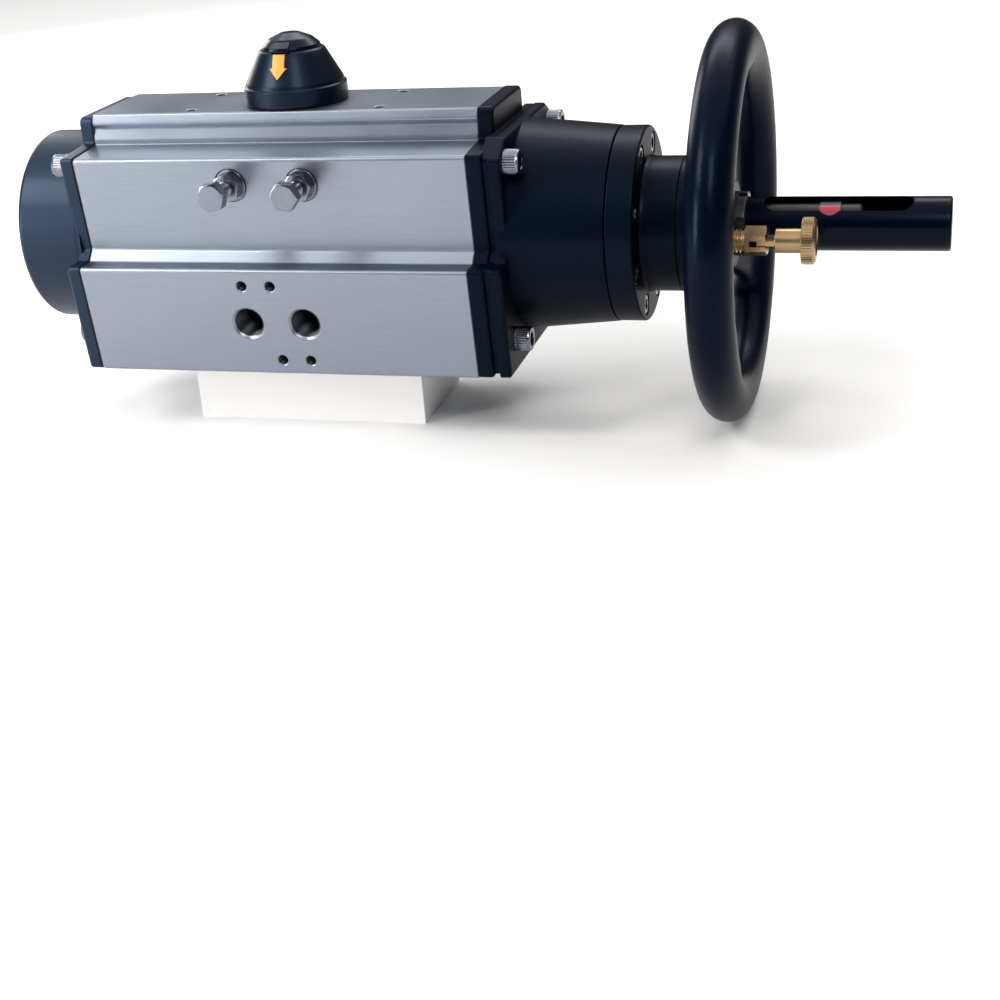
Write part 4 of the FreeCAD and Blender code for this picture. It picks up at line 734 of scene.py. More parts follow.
def make_housing(sizes, paint):
    """The extruded body with its bore, air ports, tapped holes and shaft seats."""
    edges = (sizes.end_edge, sizes.end_edge)
    body = extrusion("housing", body_outline(), BODY_LOW.x, BODY_HIGH.x, edges, 2)
    ends = (BODY_LOW.x - 2, BODY_HIGH.x + 2)
    pad_hole = (PAD_HOLE_RADIUS, 10.0, PAD_HOLE_CHAMFER, 0.8)
    top_hole = (PAD_HOLE_RADIUS, 8.0, PAD_HOLE_CHAMFER, 0.8)
    cutters = [rod("bore", 35.0, *ends, AXIS, count=128)]
    cutters += [aim(tapped_hole("port", 5.9, 14.0, sizes.port_chamfer, 1.3), on_pad(x, 0), PAD_OUT)
                for x in PORT_X]
    cutters += [aim(tapped_hole("pad hole", *pad_hole), on_pad(x, up), PAD_OUT) for x, up in PAD_HOLES]
    cutters += [rod("channel", 2.5, -41, -30, (-12, 0, 22), "Y", 24),
                rod("riser", 2.2, 22, 31.5, (12, -41, 0), "Z", 24),
                rod("gallery", 2.2, *ends, (0, -41, 31.5), count=24)]
    cutters += [aim(tapped_hole("top hole", *top_hole), (x, y, BODY_HIGH.z), (0, 0, 1))
                for x, y in TOP_HOLES]
    cutters += valve_holes()
    for x in (-STOP_X, STOP_X):
        face = [(-60, 0, 0), (STOP_FACE, 0, 0), (STOP_FACE, 6.8, 0.4), (-60, 6.8, 0)]
        cutters += [turned("spot face", face, (x, 0, STOP_Z), "Y", 64),
                    rod("stop hole", STOP_HOLE_RADIUS, -45, -8, (x, 0, STOP_Z), "Y", 32)]
    cutters += [rod("shaft bore", 10.6, AXIS_Z, 102, axis="Z", count=64),
                rod("shaft seat", 12.1, AXIS_Z, 96.05, axis="Z", count=64),
                rod("lower bore", 18.95, -1, AXIS_Z, axis="Z", count=96),
                rod("lower seat", 20.5, 6, AXIS_Z, axis="Z", count=96)]
    for y, z in CORNERS:
        for side in (-1, 1):
            reach = sorted((side * 66, side * (BODY_HIGH.x + 1)))
            cutters.append(rod("screw hole", 3.03, *reach, (0, y, z), count=24))
    boolean(body, cutters)
    mark_holes(smooth(body), sizes.port_chamfer)
    finish_piece(body, "housing", "body_anodised", paint, "housing_body")


# ---- Left cap, right plate, bonnet ----
def finish_casting(casting, cutters, holes, paint, node):
    """Cuts the room and the four screw holes, each from holes[0] to holes[1], into an end casting."""
    cutters += [rod("hole", 3.3, *holes, (0, y, z), count=32) for y, z in CORNERS]
    boolean(casting, cutters)
    finish_piece(smooth(casting), "housing", "black_coated", paint, node)


def make_left_cap(sizes, paint):
    """The left plate with its round spring pot."""
    start, plate, inner = LEFT_LOW.x, LEFT_PLATE_FACE, LEFT_HIGH.x
    cap = extrusion("left_cap", plate_outline(LEFT_HIGH.z), plate, inner, (sizes.casting_edge, 0.0), 4)
    pot = turned("pot", [(plate + 2, 0, 0), (start, 0, 0), (start, 39.4, sizes.pot_edge),
                         (plate - 1.2, 39.4, 0.0), (plate + 0.4, 41.0, 0.0), (plate + 2, 41.0, 0)],
                 AXIS, count=160, steps=8)
    boolean(cap, [pot], "UNION")
    room = turned("room", [(start + 3.5, 0, 0), (start + 3.5, ROOM_RADIUS, 1.5),
                           (inner + 1, ROOM_RADIUS, 0), (inner + 1, 0, 0)], AXIS, count=96)
    finish_casting(cap, [room], (plate - 3, inner + 1), paint, "left_end_cap")


def make_right_plate(sizes, paint):
    """The plate between the body and the bonnet, with a raised land for the bonnet."""
    low, high = PLATE_LOW.x, PLATE_HIGH.x
    step = high - 2.3
    plate = extrusion("right_plate", plate_outline(PLATE_HIGH.z), low, step, (0.0, sizes.casting_edge), 4)
    boolean(plate, [extrusion("land", flange_outline(1.6), step - 1, high, (0.0, 0.0))], "UNION")
    bore = rod("bore", ROOM_RADIUS, low - 1, high + 1, AXIS, count=96)
    finish_casting(plate, [bore], (low - 1, high + 1), paint, "right_end_plate")


def make_bonnet(sizes, paint):
    """The tapered barrel of the override with its flange."""
    low, face, end = BONNET_LOW.x, BONNET_LOW.x + BONNET_FLANGE, BONNET_HIGH.x
    bonnet = extrusion("bonnet", flange_outline(), low, face, (0.5, sizes.casting_edge), 4)
    barrel = turned("barrel", [(low + 1, 0, 0), (low + 1, 41.6, 0), (face, 41.6, 0),
                               (end, 38.2, sizes.joint_edge), (end, 0, 0)], AXIS, count=160)
    boolean(bonnet, [barrel], "UNION")
    room = [rod("bore", ROOM_RADIUS, low - 1, end - 10.3, AXIS, count=96),
            rod("seat", 26.0, end - 12, end + 1, AXIS, count=96)]
    finish_casting(bonnet, room, (low - 1, face + 3), paint, "override_bonnet")


# ---- Cover with its bearing neck, and the retainer ring ----
def make_cover(sizes, paint):
    """The disc and neck over the drive sleeve, with eight screw pockets."""
    end = COVER_HIGH.x
    face, back = end - COVER_NECK, end - COVER_NECK - COVER_DISC
    cover = turned("cover", [(COVER_LOW.x, 8.12, 0), (COVER_LOW.x, 25.9, 0.3), (back, 25.9, 0),
                             (back, 38.0, sizes.joint_edge), (face, 38.0, 1.0), (face, 28.2, 0.0),
                             (face + 0.5, 26.8, 0.0), (face + 2.0, NECK_RADIUS, 0.0), (end, NECK_RADIUS, 0.5),
                             (end, 20.0, 0.2), (face + 1.9, 20.0, 0), (face + 1.9, 14.3, 0),
                             (face + 0.2, 14.3, 0), (face + 0.2, 8.12, 0)], AXIS, count=160)
    cutters = []
    for y, up in on_circle(8, COVER_SCREW_CIRCLE, 22.5):
        place = (0, y, AXIS_Z + up)
        pocket = [(face - COVER_SCREW_SINK, 0, 0), (face - COVER_SCREW_SINK, 4.25, 0.2),
                  (face - 0.35, 4.25, 0), (face + 0.3, 4.9, 0), (face + 0.3, 0, 0)]
        cutters += [turned("pocket", pocket, place, count=40),
                    rod("shank hole", 2.7, back - 2, face - 5, place, count=24)]
    boolean(cover, cutters)
    finish_piece(smooth(cover), "housing", "black_coated", paint, "override_cover")


def make_retainer(paint):
    """The ring on the neck's end, with lock holes on the quarter points and sunk screws between."""
    start, end = RING_LOW.x, RING_HIGH.x
    ring = turned("retainer", [(start, 14.05, 0.3), (start, NECK_RADIUS, 0.4), (end, NECK_RADIUS, 0.7),
                               (end, 14.05, 0.4)], AXIS, count=128)
    lock = [(end - 3.5, 0, 0), (end - 3.5, 1.6, 0), (end - 0.3, 1.6, 0), (end + 0.5, 2.4, 0),
            (end + 0.5, 0, 0)]
    sink = [(start - 1, 0, 0), (start - 1, 2.15, 0), (end - 2.2, 2.15, 0), (end + 0.3, 3.4, 0),
            (end + 0.3, 0, 0)]
    cutters = [turned(name, profile, (0, y, AXIS_Z + up), count=32)
               for name, profile, circle, first in (("lock hole", lock, LOCK_CIRCLE, 0),
                                                    ("sink", sink, RETAINER_SCREW_CIRCLE, 45))
               for y, up in on_circle(4, circle, first)]
    boolean(ring, cutters)
    finish_piece(smooth(ring), "housing", "black_coated", paint, "bearing_retainer")


# ---- Screws ----
def hexagon(name, flats, z0, z1, turn=0.0):
    """A plain hexagonal bar along +Z."""
    corner = flats / math.sqrt(3)
    angles = [math.radians(60 * k + turn) for k in range(6)]
    verts = [(corner * math.cos(a), corner * math.sin(a), z) for z in (z0, z1) for a in angles]
    faces = [list(range(5, -1, -1)), list(range(6, 12))]
    faces += [[k, (k + 1) % 6, 6 + (k + 1) % 6, 6 + k] for k in range(6)]
    return new_object(name, verts, faces)


def chamfered_hexagon(name, flats, height, both=False):
    """A hexagon along +Z whose corners are turned off at its top, or at both ends."""
    prism = hexagon(name, flats, 0.0, height)
    corner, flat = 1.02 * flats / math.sqrt(3), 0.445 * flats
    drop = (corner - flat) * math.tan(math.radians(28))
    profile = [(0.0, 0.0), (0.0, flat), (drop, corner)] if both else [(-1.0, 0.0), (-1.0, corner)]
    profile += [(height - drop, corner), (height, flat), (height, 0.0)]
    return boolean(prism, [lathe("turning", profile, axis="Z", count=72)], "INTERSECT")


def socket_screw(diameter, length, pitch):
    """A socket head screw along +Z: the head's seat is at the origin, the head above it."""
    columns, groove = 72, 0.955
    outer, height = 0.8 * diameter, diameter
    profile = [(-0.5, 0.0), (0.0, outer - 0.1), (0.1, outer), (0.14 * height, outer), (0.80 * height, outer),
               (0.86 * height, outer), (0.96 * height, 0.96 * outer), (height, 0.88 * outer), (height, 0.0)]
    screw = lathe("screw", profile, axis="Z", count=columns)
    for vertex in screw.data.vertices:
        x, y, z = vertex.co / MM
        column = round(math.degrees(math.atan2(y, x)) * columns / 360)
        if 0.1 * height < z < 0.83 * height and column % 2:
            vertex.co.x *= groove
            vertex.co.y *= groove
    thread = threaded_profile(diameter / 2, -length, 0.3, pitch, 0.35 * pitch)
    boolean(screw, [lathe("shank", thread, axis="Z", count=32)], "UNION")
    key = hexagon("key", 0.83 * diameter, 0.42 * height, height + 1, 30)
    rim, above = height - 0.06 * diameter, height + 0.2
    lead = lathe("lead", [(rim, 0.0), (rim, 0.44 * diameter), (above, 0.52 * diameter), (above, 0.0)],
                 axis="Z", count=48)
    return boolean(screw, [key, lead])


def make_end_screws(settings, paint):
    """Socket screws of the two ends, turned by chance as they are in a real assembly."""
    for name, node, seat, side, length, seed in (
            ("left_screws", "left_cap_screws", LEFT_PLATE_FACE, -1, 17.5, 3),
            ("bonnet_screws_visible", "bonnet_screws", BONNET_LOW.x + BONNET_FLANGE, 1, 25.0, 8)):
        screw = lay_along_x(socket_screw(6.0, length, 1.0), side)
        places = [(seat, y, z) for y, z in CORNERS]
        obj = at_points(name, screw, places, seed, settings.spin, paint)
        finish_piece(smooth(obj, 30), "housing", "bright_steel", paint, node)


def make_cover_screws(paint, dark):
    """Socket screws in the cover's pockets, and small sunk screws in the retainer."""
    seat = COVER_HIGH.x - COVER_NECK - COVER_SCREW_SINK
    screw = move(lay_along_x(socket_screw(5.0, 14.0, 0.8)), 0, 0, COVER_SCREW_CIRCLE)
    obj = around("cover_screws_visible", screw, 8, 22.5, (seat, 0, AXIS_Z), paint)
    finish_piece(smooth(obj, 30), "housing", "bright_steel", paint, "cover_screws")
    small = lathe("small", [(-11.0, 0), (-11.0, 2.0), (-2.0, 2.0), (-0.4, 2.9), (-0.2, 2.9),
                            (-0.2, 0)], count=40)
    boolean(small, [lay_along_x(hexagon("key", 2.2, -1.6, 1.0))])
    move(small, 0, 0, RETAINER_SCREW_CIRCLE)
    ring = around("retainer_screws_visible", small, 4, 45.0, (RING_HIGH.x, 0, AXIS_Z), dark)
    finish_piece(smooth(ring, 30), "housing", "bright_steel", dark, "retainer_screws")


# ---- Travel stops ----
def joined(name, parts):
    """Several separate meshes as one object."""
    mesh = bpy.data.meshes.new(name)
    with editing(mesh) as work:
        for part in parts:
            work.from_mesh(part.data)
            bpy.data.objects.remove(part)
    return add_object(name, mesh)


def make_stops(settings, paint):
    """Hexagon bolts, lock nuts and washers of the two travel stops."""
    washer, nut, head = -42.6, -48.2, STOP_FRONT      # outer faces
    flats, head_height, washer_radius = 10.0, 5.0, 6.2
    pitch = settings.thread_pitch
    bolts, nuts, washers = [], [], []
    for x, bolt_turn, nut_turn in ((-STOP_X, 12, 20), (STOP_X, -7, 4)):
        bolt = lathe("bolt", threaded_profile(3.0, 8.0, -head - 4.0, pitch, 0.6 * pitch), axis="Z", count=40)
        top = spin_about(chamfered_hexagon("head", flats, head_height), (0, 0, 0), "Z", bolt_turn)
        boolean(bolt, [move(top, 0, 0, -head - head_height)], "UNION")
        bolts.append(aim(bolt, (x, 0, STOP_Z), (0, -1, 0)))
        ring = chamfered_hexagon("nut", flats, washer - nut, True)
        boolean(ring, [rod("hole", STOP_HOLE_RADIUS, -1, 10, axis="Z", count=32)])
        spin_about(ring, (0, 0, 0), "Z", nut_turn)
        nuts.append(aim(ring, (x, washer, STOP_Z), (0, -1, 0)))
        washers.append(turned("washer", [(STOP_FACE, 3.2, 0.1), (washer, 3.2, 0.2),
                                         (washer, washer_radius, 0.35), (STOP_FACE, washer_radius, 0.3)],
                              (x, 0, STOP_Z), "Y", 64))
    for name, parts, node in (("stop_bolts", bolts, "stop_screws"), ("stop_nuts", nuts, "stop_lock_nuts"),
                              ("stop_rings", washers, "stop_washers")):
        finish_piece(smooth(joined(name, parts), 30), "housing", "bright_steel", paint, node)


# ---- Position indicator ----
def cone_radius(z, grow=0.0):
    """Radius of the dome's cone at a height, moved out by grow."""
    low, high = DOME_LOW.z + 7.0, DOME_HIGH.z
    wide, narrow = 20.2, 13.4
    return wide + grow + (narrow - wide) * (z - low) / (high - low)


def cone_shell(name, low, high, inner, outer, count):
    """A layer of the cone between two growths, from one height to another."""
    return lathe(name, [(z, cone_radius(z, grow)) for z, grow in
                        ((low, inner), (low, outer), (high, outer), (high, inner))], axis="Z", count=count)


def arrow_prism(grow):
    """The arrow's outline pointing down on the front, as a prism along -Y."""
    tip, length = DOME_HIGH.z - 9.4, 8.9
    half, shaft, barb = 3.5 + grow, 2.4 + grow, tip + 0.45 * length
    points = [(0, tip - 1.3 * grow), (half, barb), (shaft, barb), (shaft, tip + length + grow),
              (-shaft, tip + length + grow), (-shaft, barb), (-half, barb)]
    verts = [(x, y, z) for y in (-2.0, -30.0) for x, z in points]
    faces = [list(range(7)), list(range(13, 6, -1))]
    faces += [[k, k + 7, (k + 1) % 7 + 7, (k + 1) % 7] for k in range(7)]
    return new_object("arrow prism", verts, faces)


def make_indicator(paint, arrow_paint, cap_paint):
    """The dome with a recess for its arrow, the arrow and the rounded top with its lip."""
    base, top = BODY_HIGH.z + 0.4, DOME_HIGH.z
    ring, floor, seat = base + 7.0, 108.2, base + 5.2
    shell = turned("indicator_shell",
                   [(base, 17.6, 0.2), (base, 20.7, 0.7), (ring - 0.4, 20.7, 0.9), (ring, 19.9, 0.5),
                    (ring + 1.4, 19.5, 2.0), (top - 1.6, 13.9, 1.2), (top - 0.6, 13.3, 0.5), (top, 12.4, 0.4),
                    (top - 0.2, 9.0, 0.0), (floor + 3.0, 9.0, 0.0), (floor + 3.0, 3.3, 0.0),
                    (floor, 3.3, 0.0), (floor, 10.7, 0.0), (seat, 10.7, 0.0), (seat, 17.6, 0.0)],
                   axis="Z", count=160)
    recess = cone_shell("skin", ring, top + 1, -0.9, 3, 128)
    boolean(recess, [arrow_prism(0.12)], "INTERSECT")
    boolean(shell, [recess])
    finish_piece(smooth(shell), "pinion", "black_plastic", paint, "indicator_base")
    plate = cone_shell("indicator_arrow_visible", ring, top + 1, -0.8, 0.35, 256)
    boolean(plate, [arrow_prism(0.0)], "INTERSECT")
    soften(plate, 0.18, 2, 50)
    finish_piece(smooth(plate), "pinion", "arrow_yellow", arrow_paint, "indicator_arrow")
    cap = turned("indicator_top",
                 [(top - 3.0, 0.0, 0.0), (top - 3.0, 8.9, 0.3), (top + 0.05, 8.9, 0.0),
                  (top + 0.05, 12.0, 0.5), (top + 1.3, 11.6, 0.8), (top + 3.9, 8.6, 3.0),
                  (CAP_TOP, 3.6, 3.0), (CAP_TOP, 0.0, 0.0)],
                 axis="Z", count=128, steps=8)
    lip = turned("lip", [(top + 0.1, 8.0, 0.0), (top + 0.1, 14.3, 0.6), (top + 1.7, 14.0, 0.8),
                         (top + 3.4, 10.2, 1.0), (top + 3.4, 8.0, 0.0)], axis="Z", count=160, steps=5)
    wedge = new_object("wedge", [(x, y, z) for z in (top - 3, top + 6) for x, y in
                                 ((-2.2, -4.0), (2.2, -4.0), (5.4, -20.0), (-5.4, -20.0))],
                       [(0, 1, 2, 3), (7, 6, 5, 4), (0, 4, 5, 1), (1, 5, 6, 2), (2, 6, 7, 3), (3, 7, 4, 0)])
    boolean(lip, [wedge], "INTERSECT")
    soften(lip, 0.5, 3, 50)
    boolean(cap, [lip], "UNION")
    finish_piece(smooth(cap), "pinion", "black_plastic", cap_paint, "indicator_cap")


# ---- Handwheel, as one smoothly blended casting ----
def blended(a, b, width):
    """The nearer of two distances, with a fillet of about this width between them."""
    share = np.clip(0.5 + 0.5 * (b - a) / width, 0.0, 1.0)
    return b * (1 - share) + a * share - width * share * (1 - share)


def disc_distance(x, r, x0, x1, radius, round_by):
    """Distance from a rounded disc about the axis."""
    along = np.abs(x - (x0 + x1) / 2) - ((x1 - x0) / 2 - round_by)
    across = r - (radius - round_by)
    outside = np.hypot(np.maximum(along, 0), np.maximum(across, 0))
    return outside + np.minimum(np.maximum(along, across), 0) - round_by


def arm_distance(x, y, z, angle, start, end, half_width, half_height):
    """Distance from a flattened arm along the line from start to end, each (x, radius)."""
    side = y * math.cos(angle) + z * math.sin(angle)
    out = -y * math.sin(angle) + z * math.cos(angle)
    run = np.array([end[0] - start[0], end[1] - start[1]])
    length = float(np.hypot(*run))
    run = run / length
    along = (x - start[0]) * run[0] + (out - start[1]) * run[1]
    up = (x - start[0]) * run[1] - (out - start[1]) * run[0]
    share = np.clip(along / length, 0, 1)
    width = half_width * (1.0 + 0.22 * (2 * share - 1) ** 2 - 0.10 * share)
    past = np.maximum(np.maximum(-along, along - length), 0)
    round_by = 0.75 * half_height
    beside = np.abs(side) - (width - round_by)
    above = np.abs(up) - (half_height - round_by)
    outside = np.sqrt(np.maximum(beside, 0) ** 2 + np.maximum(above, 0) ** 2 + past * past)
    return outside + np.minimum(np.maximum(beside, above), 0) - round_by


def wheel_distance(points, sizes):
    """Signed distance from the wheel's skin, in millimetres."""
    x, y, z = points[..., 0], points[..., 1], points[..., 2] - AXIS_Z
    r = np.hypot(y, z)
    back, hub_end = WHEEL_LOW.x, WHEEL_LOW.x + HUB_DEPTH
    half_x, half_r = 8.8, 9.7        # the rim's oval section
    web_radius, web_depth, hub_radius, boss_radius = 31.0, 7.0, 17.0, 8.0
    rim_x, rim_r = WHEEL_HIGH.x - half_x, WHEEL_HIGH.y - half_r
    u, v = (x - rim_x) / half_x, (r - rim_r) / half_r
    k = np.sqrt(u * u + v * v) + 1e-9
    slope = np.sqrt((u / half_x) ** 2 + (v / half_r) ** 2) + 1e-9
    rim = (k - 1) * k / slope
    web = disc_distance(x, r, back, back + web_depth, web_radius, 2.6)
    centre = disc_distance(x, r, back, hub_end, hub_radius, 1.2)
    boss = disc_distance(x, np.hypot(y - PLUNGER_Y, z), back, hub_end, boss_radius, 1.0)
    arms = np.minimum.reduce([
        arm_distance(x, y, z, 2 * math.pi * n / 3, (back + 3.5, 24.0), (rim_x, rim_r - 3.5),
                     sizes.spoke_half_width, sizes.spoke_half_height) for n in range(3)])
    solid = blended(arms, web, sizes.root_fillet)
    for other, fillet in ((rim, sizes.rim_fillet), (centre, 3.0), (boss, 2.5)):
        solid = blended(solid, other, fillet)
    return np.maximum(solid, back - x)


def gradient(distance, points):
    """Unit direction in which the distance grows."""
    out = np.zeros_like(points)
    for n, shift in enumerate(np.eye(3) * 0.02):
        out[:, n] = distance(points + shift) - distance(points - shift)
    return out / (np.linalg.norm(out, axis=1, keepdims=True) + 1e-12)


def surface_mesh(distance, low, high, step):
    """Surface nets: one point for each cell that the skin crosses, joined by quads."""
    axes = [np.arange(a - step, b + 2 * step, step) for a, b in zip(low, high)]
    inside = distance(np.stack(np.meshgrid(*axes, indexing="ij"), axis=-1)) < 0
    total = np.zeros(tuple(n - 1 for n in inside.shape), dtype=int)
    for i, j, k in np.ndindex(2, 2, 2):
        total += inside[i:i + total.shape[0], j:j + total.shape[1], k:k + total.shape[2]]
    cells = (total > 0) & (total < 8)
    number = -np.ones(total.shape, dtype=int)
    number[cells] = np.arange(int(cells.sum()))
    places = np.argwhere(cells)
    points = np.stack([axes[n][places[:, n]] + step / 2 for n in range(3)], axis=-1)
    for _ in range(6):
        points = points - gradient(distance, points) * distance(points)[:, None] * 0.9
    quads = []
    for axis in range(3):
        sides = [n for n in range(3) if n != axis]
        crossed = np.argwhere(np.diff(inside, axis=axis))
        beside = crossed[:, sides]
        crossed = crossed[((beside > 0) & (beside < np.array(total.shape)[sides])).all(axis=1)]
        corners = []
        for shift in ((-1, -1), (0, -1), (0, 0), (-1, 0)):
            cell = crossed.copy()
            cell[:, sides] += shift
            corners.append(number[tuple(cell.T)])
        quads.append(np.stack(corners, axis=-1))
    return points, np.concatenate(quads)


def make_wheel(sizes, paint):
    """The casting with its bores, keyway and plunger hole."""
    low, high, back = list(WHEEL_LOW), list(WHEEL_HIGH), WHEEL_LOW.x
    spigot_end = back + 9.5          # where the drive sleeve ends and the tube starts
    points, quads = surface_mesh(lambda p: wheel_distance(p, sizes), low, high, sizes.mesh_step)
    wheel = new_object("wheel_casting", np.clip(points, low, high).tolist(), quads.tolist())
    boolean(wheel, [
        rod("spigot bore", 12.05, back - 1, spigot_end, AXIS, count=96),
        turned("tube bore", [(spigot_end - 1, 0, 0), (spigot_end - 1, TUBE_BORE, 0),
                             (back + 13.1, TUBE_BORE, 0), (back + 14.0, 11.2, 0), (back + 14.0, 0, 0)],
               AXIS, count=96),
        block("keyway", (back - 1, -2, AXIS_Z - 14), (spigot_end, 2, AXIS_Z - 10)),
        turned("lock bore", [(back + 3.5, 0, 0), (back + 3.5, 4.53, 0), (back + 12.9, 4.53, 0),
                             (back + 14, 5.6, 0), (back + 14, 0, 0)], LOCK_AXIS, count=48),
        rod("pin bore", 1.6, back - 1, back + 5, LOCK_AXIS, count=32)])
    finish_piece(smooth(wheel, 50), "handwheel_group", "black_coated", paint, "handwheel")


# ---- Lock nut, position tube, plug and marker ----
def make_lock_nut(paint):
    """The notched ring nut that holds the wheel's hub."""
    low, high = NUT_LOW.x, NUT_HIGH.x
    nut = turned("ring_nut", [(low, TUBE_BORE, 0.3), (low, 12.4, 0.4), (high, 12.4, 0.6),
                              (high, TUBE_BORE, 0.3)], AXIS, count=96)
    corners = (low + 1.4, -1.5, AXIS_Z + 11.2), (high + 1, 1.5, AXIS_Z + 14)
    boolean(nut, [spin_about(block("notch", *corners), AXIS, "X", 60 * k + 12) for k in range(6)])
    finish_piece(smooth(nut), "handwheel_group", "tube_black", paint, "hub_lock_nut")


def make_tube(sizes, paint):
    """The tube with its long slot and the round sight hole beside it."""
    low, high, half = TUBE_LOW.x, TUBE_HIGH.x, sizes.slot_width / 2
    slot_turn, sight_turn = 18, 32   # degrees from the top towards the front
    tube = turned("indicator_tube", [(low, 8.7, 0.2), (low, TUBE_RADIUS, 0.3), (high, TUBE_RADIUS, 0.15),
                                     (high, 8.7, 0.15)], AXIS, count=128)
    start, end = low + 15.0 + half, low + 71.0 - half
    slot = block("slot", (start, -half, AXIS_Z), (end, half, AXIS_Z + 20))
    ends = [rod("round", half, AXIS_Z, AXIS_Z + 21, (x, 0, 0), "Z", 48) for x in (start, end)]
    boolean(slot, ends, "UNION")
    sight = rod("sight", 4.4, AXIS_Z, AXIS_Z + 21, (low + 40.0, 0, 0), "Z", 48)
    boolean(tube, [spin_about(slot, AXIS, "X", slot_turn), spin_about(sight, AXIS, "X", sight_turn)])
    soften(tube, 0.2, 2, 40)
    finish_piece(smooth(tube), "handwheel_group", "tube_black", paint, "position_tube")


def make_plug(paint):
    """The plug in the tube's outer end, a little domed."""
    seat = TUBE_HIGH.x
    plug = turned("tube_plug",
                  [(seat - 3, 0, 0), (seat - 3, 8.65, 0.3), (seat, 8.65, 0.0), (seat, TUBE_RADIUS, 0.1),
                   (PLUG_END, TUBE_RADIUS, 1.5), (PLUG_END - 0.25, 0.0, 0.0)], AXIS, count=128, steps=6)
    finish_piece(smooth(plug), "handwheel_group", "black_plastic", paint, "tube_end_plug")


def make_marker(pad_paint, painted_shade_paint):
    """The ring on the spindle inside the tube: a coloured pad, and the rest of the ring painted dark as
    shade.
    """
    low, high = span("position_marker")
    profile = [(low.x, 7.65, 0.2), (low.x, 8.3, 0.25), (high.x, 8.3, 0.25), (high.x, 7.65, 0.2)]
    # painted shade: outside the wedge the ring gets a near-black finish in place of its red, standing in for
    # the shade inside the tube
    for name, slot, paint, operation, nodes in (
            ("marker_pad", "marker_red", pad_paint, "INTERSECT", ["position_marker"]),
            ("marker_clip", "shaft_steel", painted_shade_paint, "DIFFERENCE", [])):
        ring = turned(name, profile, AXIS, count=96)
        wedge = block("wedge", (low.x - 1, -4.2, AXIS_Z + 4), (high.x + 1, 4.2, AXIS_Z + 12))
        boolean(ring, [spin_about(wedge, AXIS, "X", 50)], operation)
        finish_piece(smooth(ring), "spindle", slot, paint, *nodes)


# ---- Locking plunger ----
def make_plunger_body(sizes, paint):
    """The threaded body with a slotted hexagon."""
    low, high, hex_height, slot_half = BRASS_LOW.x, BRASS_HIGH.x, 8.8, 1.16
    hex_start = high - hex_height
    neck = threaded_profile(4.5, low, hex_start + 0.5, sizes.neck_pitch, 0.5 * sizes.neck_pitch)
    body = lathe("plunger_housing", neck, LOCK_AXIS, count=64)
    head = lay_along_x(chamfered_hexagon("hex", 10.0, hex_height, True))
    boolean(body, [move(head, hex_start, PLUNGER_Y, AXIS_Z)], "UNION")
    boolean(body, [block("slot", (high - 6.5, PLUNGER_Y - 8, AXIS_Z - slot_half),
                         (high + 1, PLUNGER_Y + 8, AXIS_Z + slot_half)),
                   rod("pin way", 1.6, low - 1, high + 1, LOCK_AXIS, count=32),
                   rod("chamber", 3.4, low + 2, low + 17, LOCK_AXIS, count=48)])
    soften(body, 0.12, 2, 40)
    finish_piece(smooth(body, 30), "handwheel_group", "brass", paint, "plunger_body")


def make_knob(sizes, paint):
    """The blade that rides in the slot, and the knurled knob that it carries."""
    blade = block("plunger_tongue", BLADE_LOW, BLADE_HIGH)
    soften(blade, 0.22, 3)
    finish_piece(smooth(blade, 30), "plunger", "brass", paint, "plunger_blade")
    low, high = KNOB_LOW.x, KNOB_HIGH.x
    start = high - 5.2
    grip = turned("plunger_grip",
                  [(low, 1.52, 0.1), (low, 4.6, 0.35), (start, 4.6, 0.4), (start, 8.4, 0.3),
                   (start + 0.3, 8.45, 0.0), (high - 0.9, 8.45, 0.0), (high, 7.7, 0.25),
                   (high, 5.6, 0.2), (high - 0.35, 5.2, 0.2), (high - 0.35, 0.0, 0.0),
                   (low + 4, 0.0, 0.0), (low + 4, 1.52, 0.0)], LOCK_AXIS, count=96)
    boolean(grip, [block("way", (low - 1, PLUNGER_Y - 4.32, AXIS_Z - 1.07),
                         (BLADE_HIGH.x + 0.1, PLUNGER_Y + 4.32, AXIS_Z + 1.07))])
    finish_piece(smooth(grip), "plunger", "brass", paint, "plunger_knob")
    ridge = new_object("ridge", [(x, y, z) for x in (start + 0.35, high - 1.0)
                                 for y, z in ((-0.36, 8.3), (0.36, 8.3), (0.0, 8.74))],
                       [(0, 1, 2), (5, 4, 3), (0, 3, 4, 1), (1, 4, 5, 2), (2, 5, 3, 0)])
    knurl = around("plunger_knurl", ridge, sizes.knurl_count, 0.0, LOCK_AXIS, paint)
    finish_piece(knurl, "plunger", "brass", paint)


# ---- Springs ----
def make_spring(name, node, body, coil, centre, paint):
    """Winds a spring in the place of its node, from a (radius, wire, turns) coil.
    """
    radius, wire, turns = coil
    low, high = span(node)
    length = high.x - low.x
    values = {"Coil Radius": radius * MM, "Length": (length - wire) * MM, "Turns": turns,
              "Wire Radius": wire / 2 * MM, "Material": paint}
    obj = run_tree(name, shared("Wound wire", coil_tree), [(0, 0, 0)], values)
    move(obj, low.x + wire / 2, *centre[1:])
    obj.data.shade_smooth()
    finish_piece(obj, body, "spring_steel", paint, node)
    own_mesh(obj)


def make_springs(sizes, paint, small_paint):
    """The two return springs and the plunger's spring."""
    make_spring("return_spring_left", "left_spring", "housing", (28.0, 4.0, sizes.left_turns),
                AXIS, paint)
    make_spring("return_spring_right", "right_spring", "housing", (28.0, 4.0, sizes.right_turns),
                AXIS, paint)
    make_spring("lock_spring", "plunger_spring", "handwheel_group", (2.45, 0.6, 8.0),
                LOCK_AXIS, small_paint)


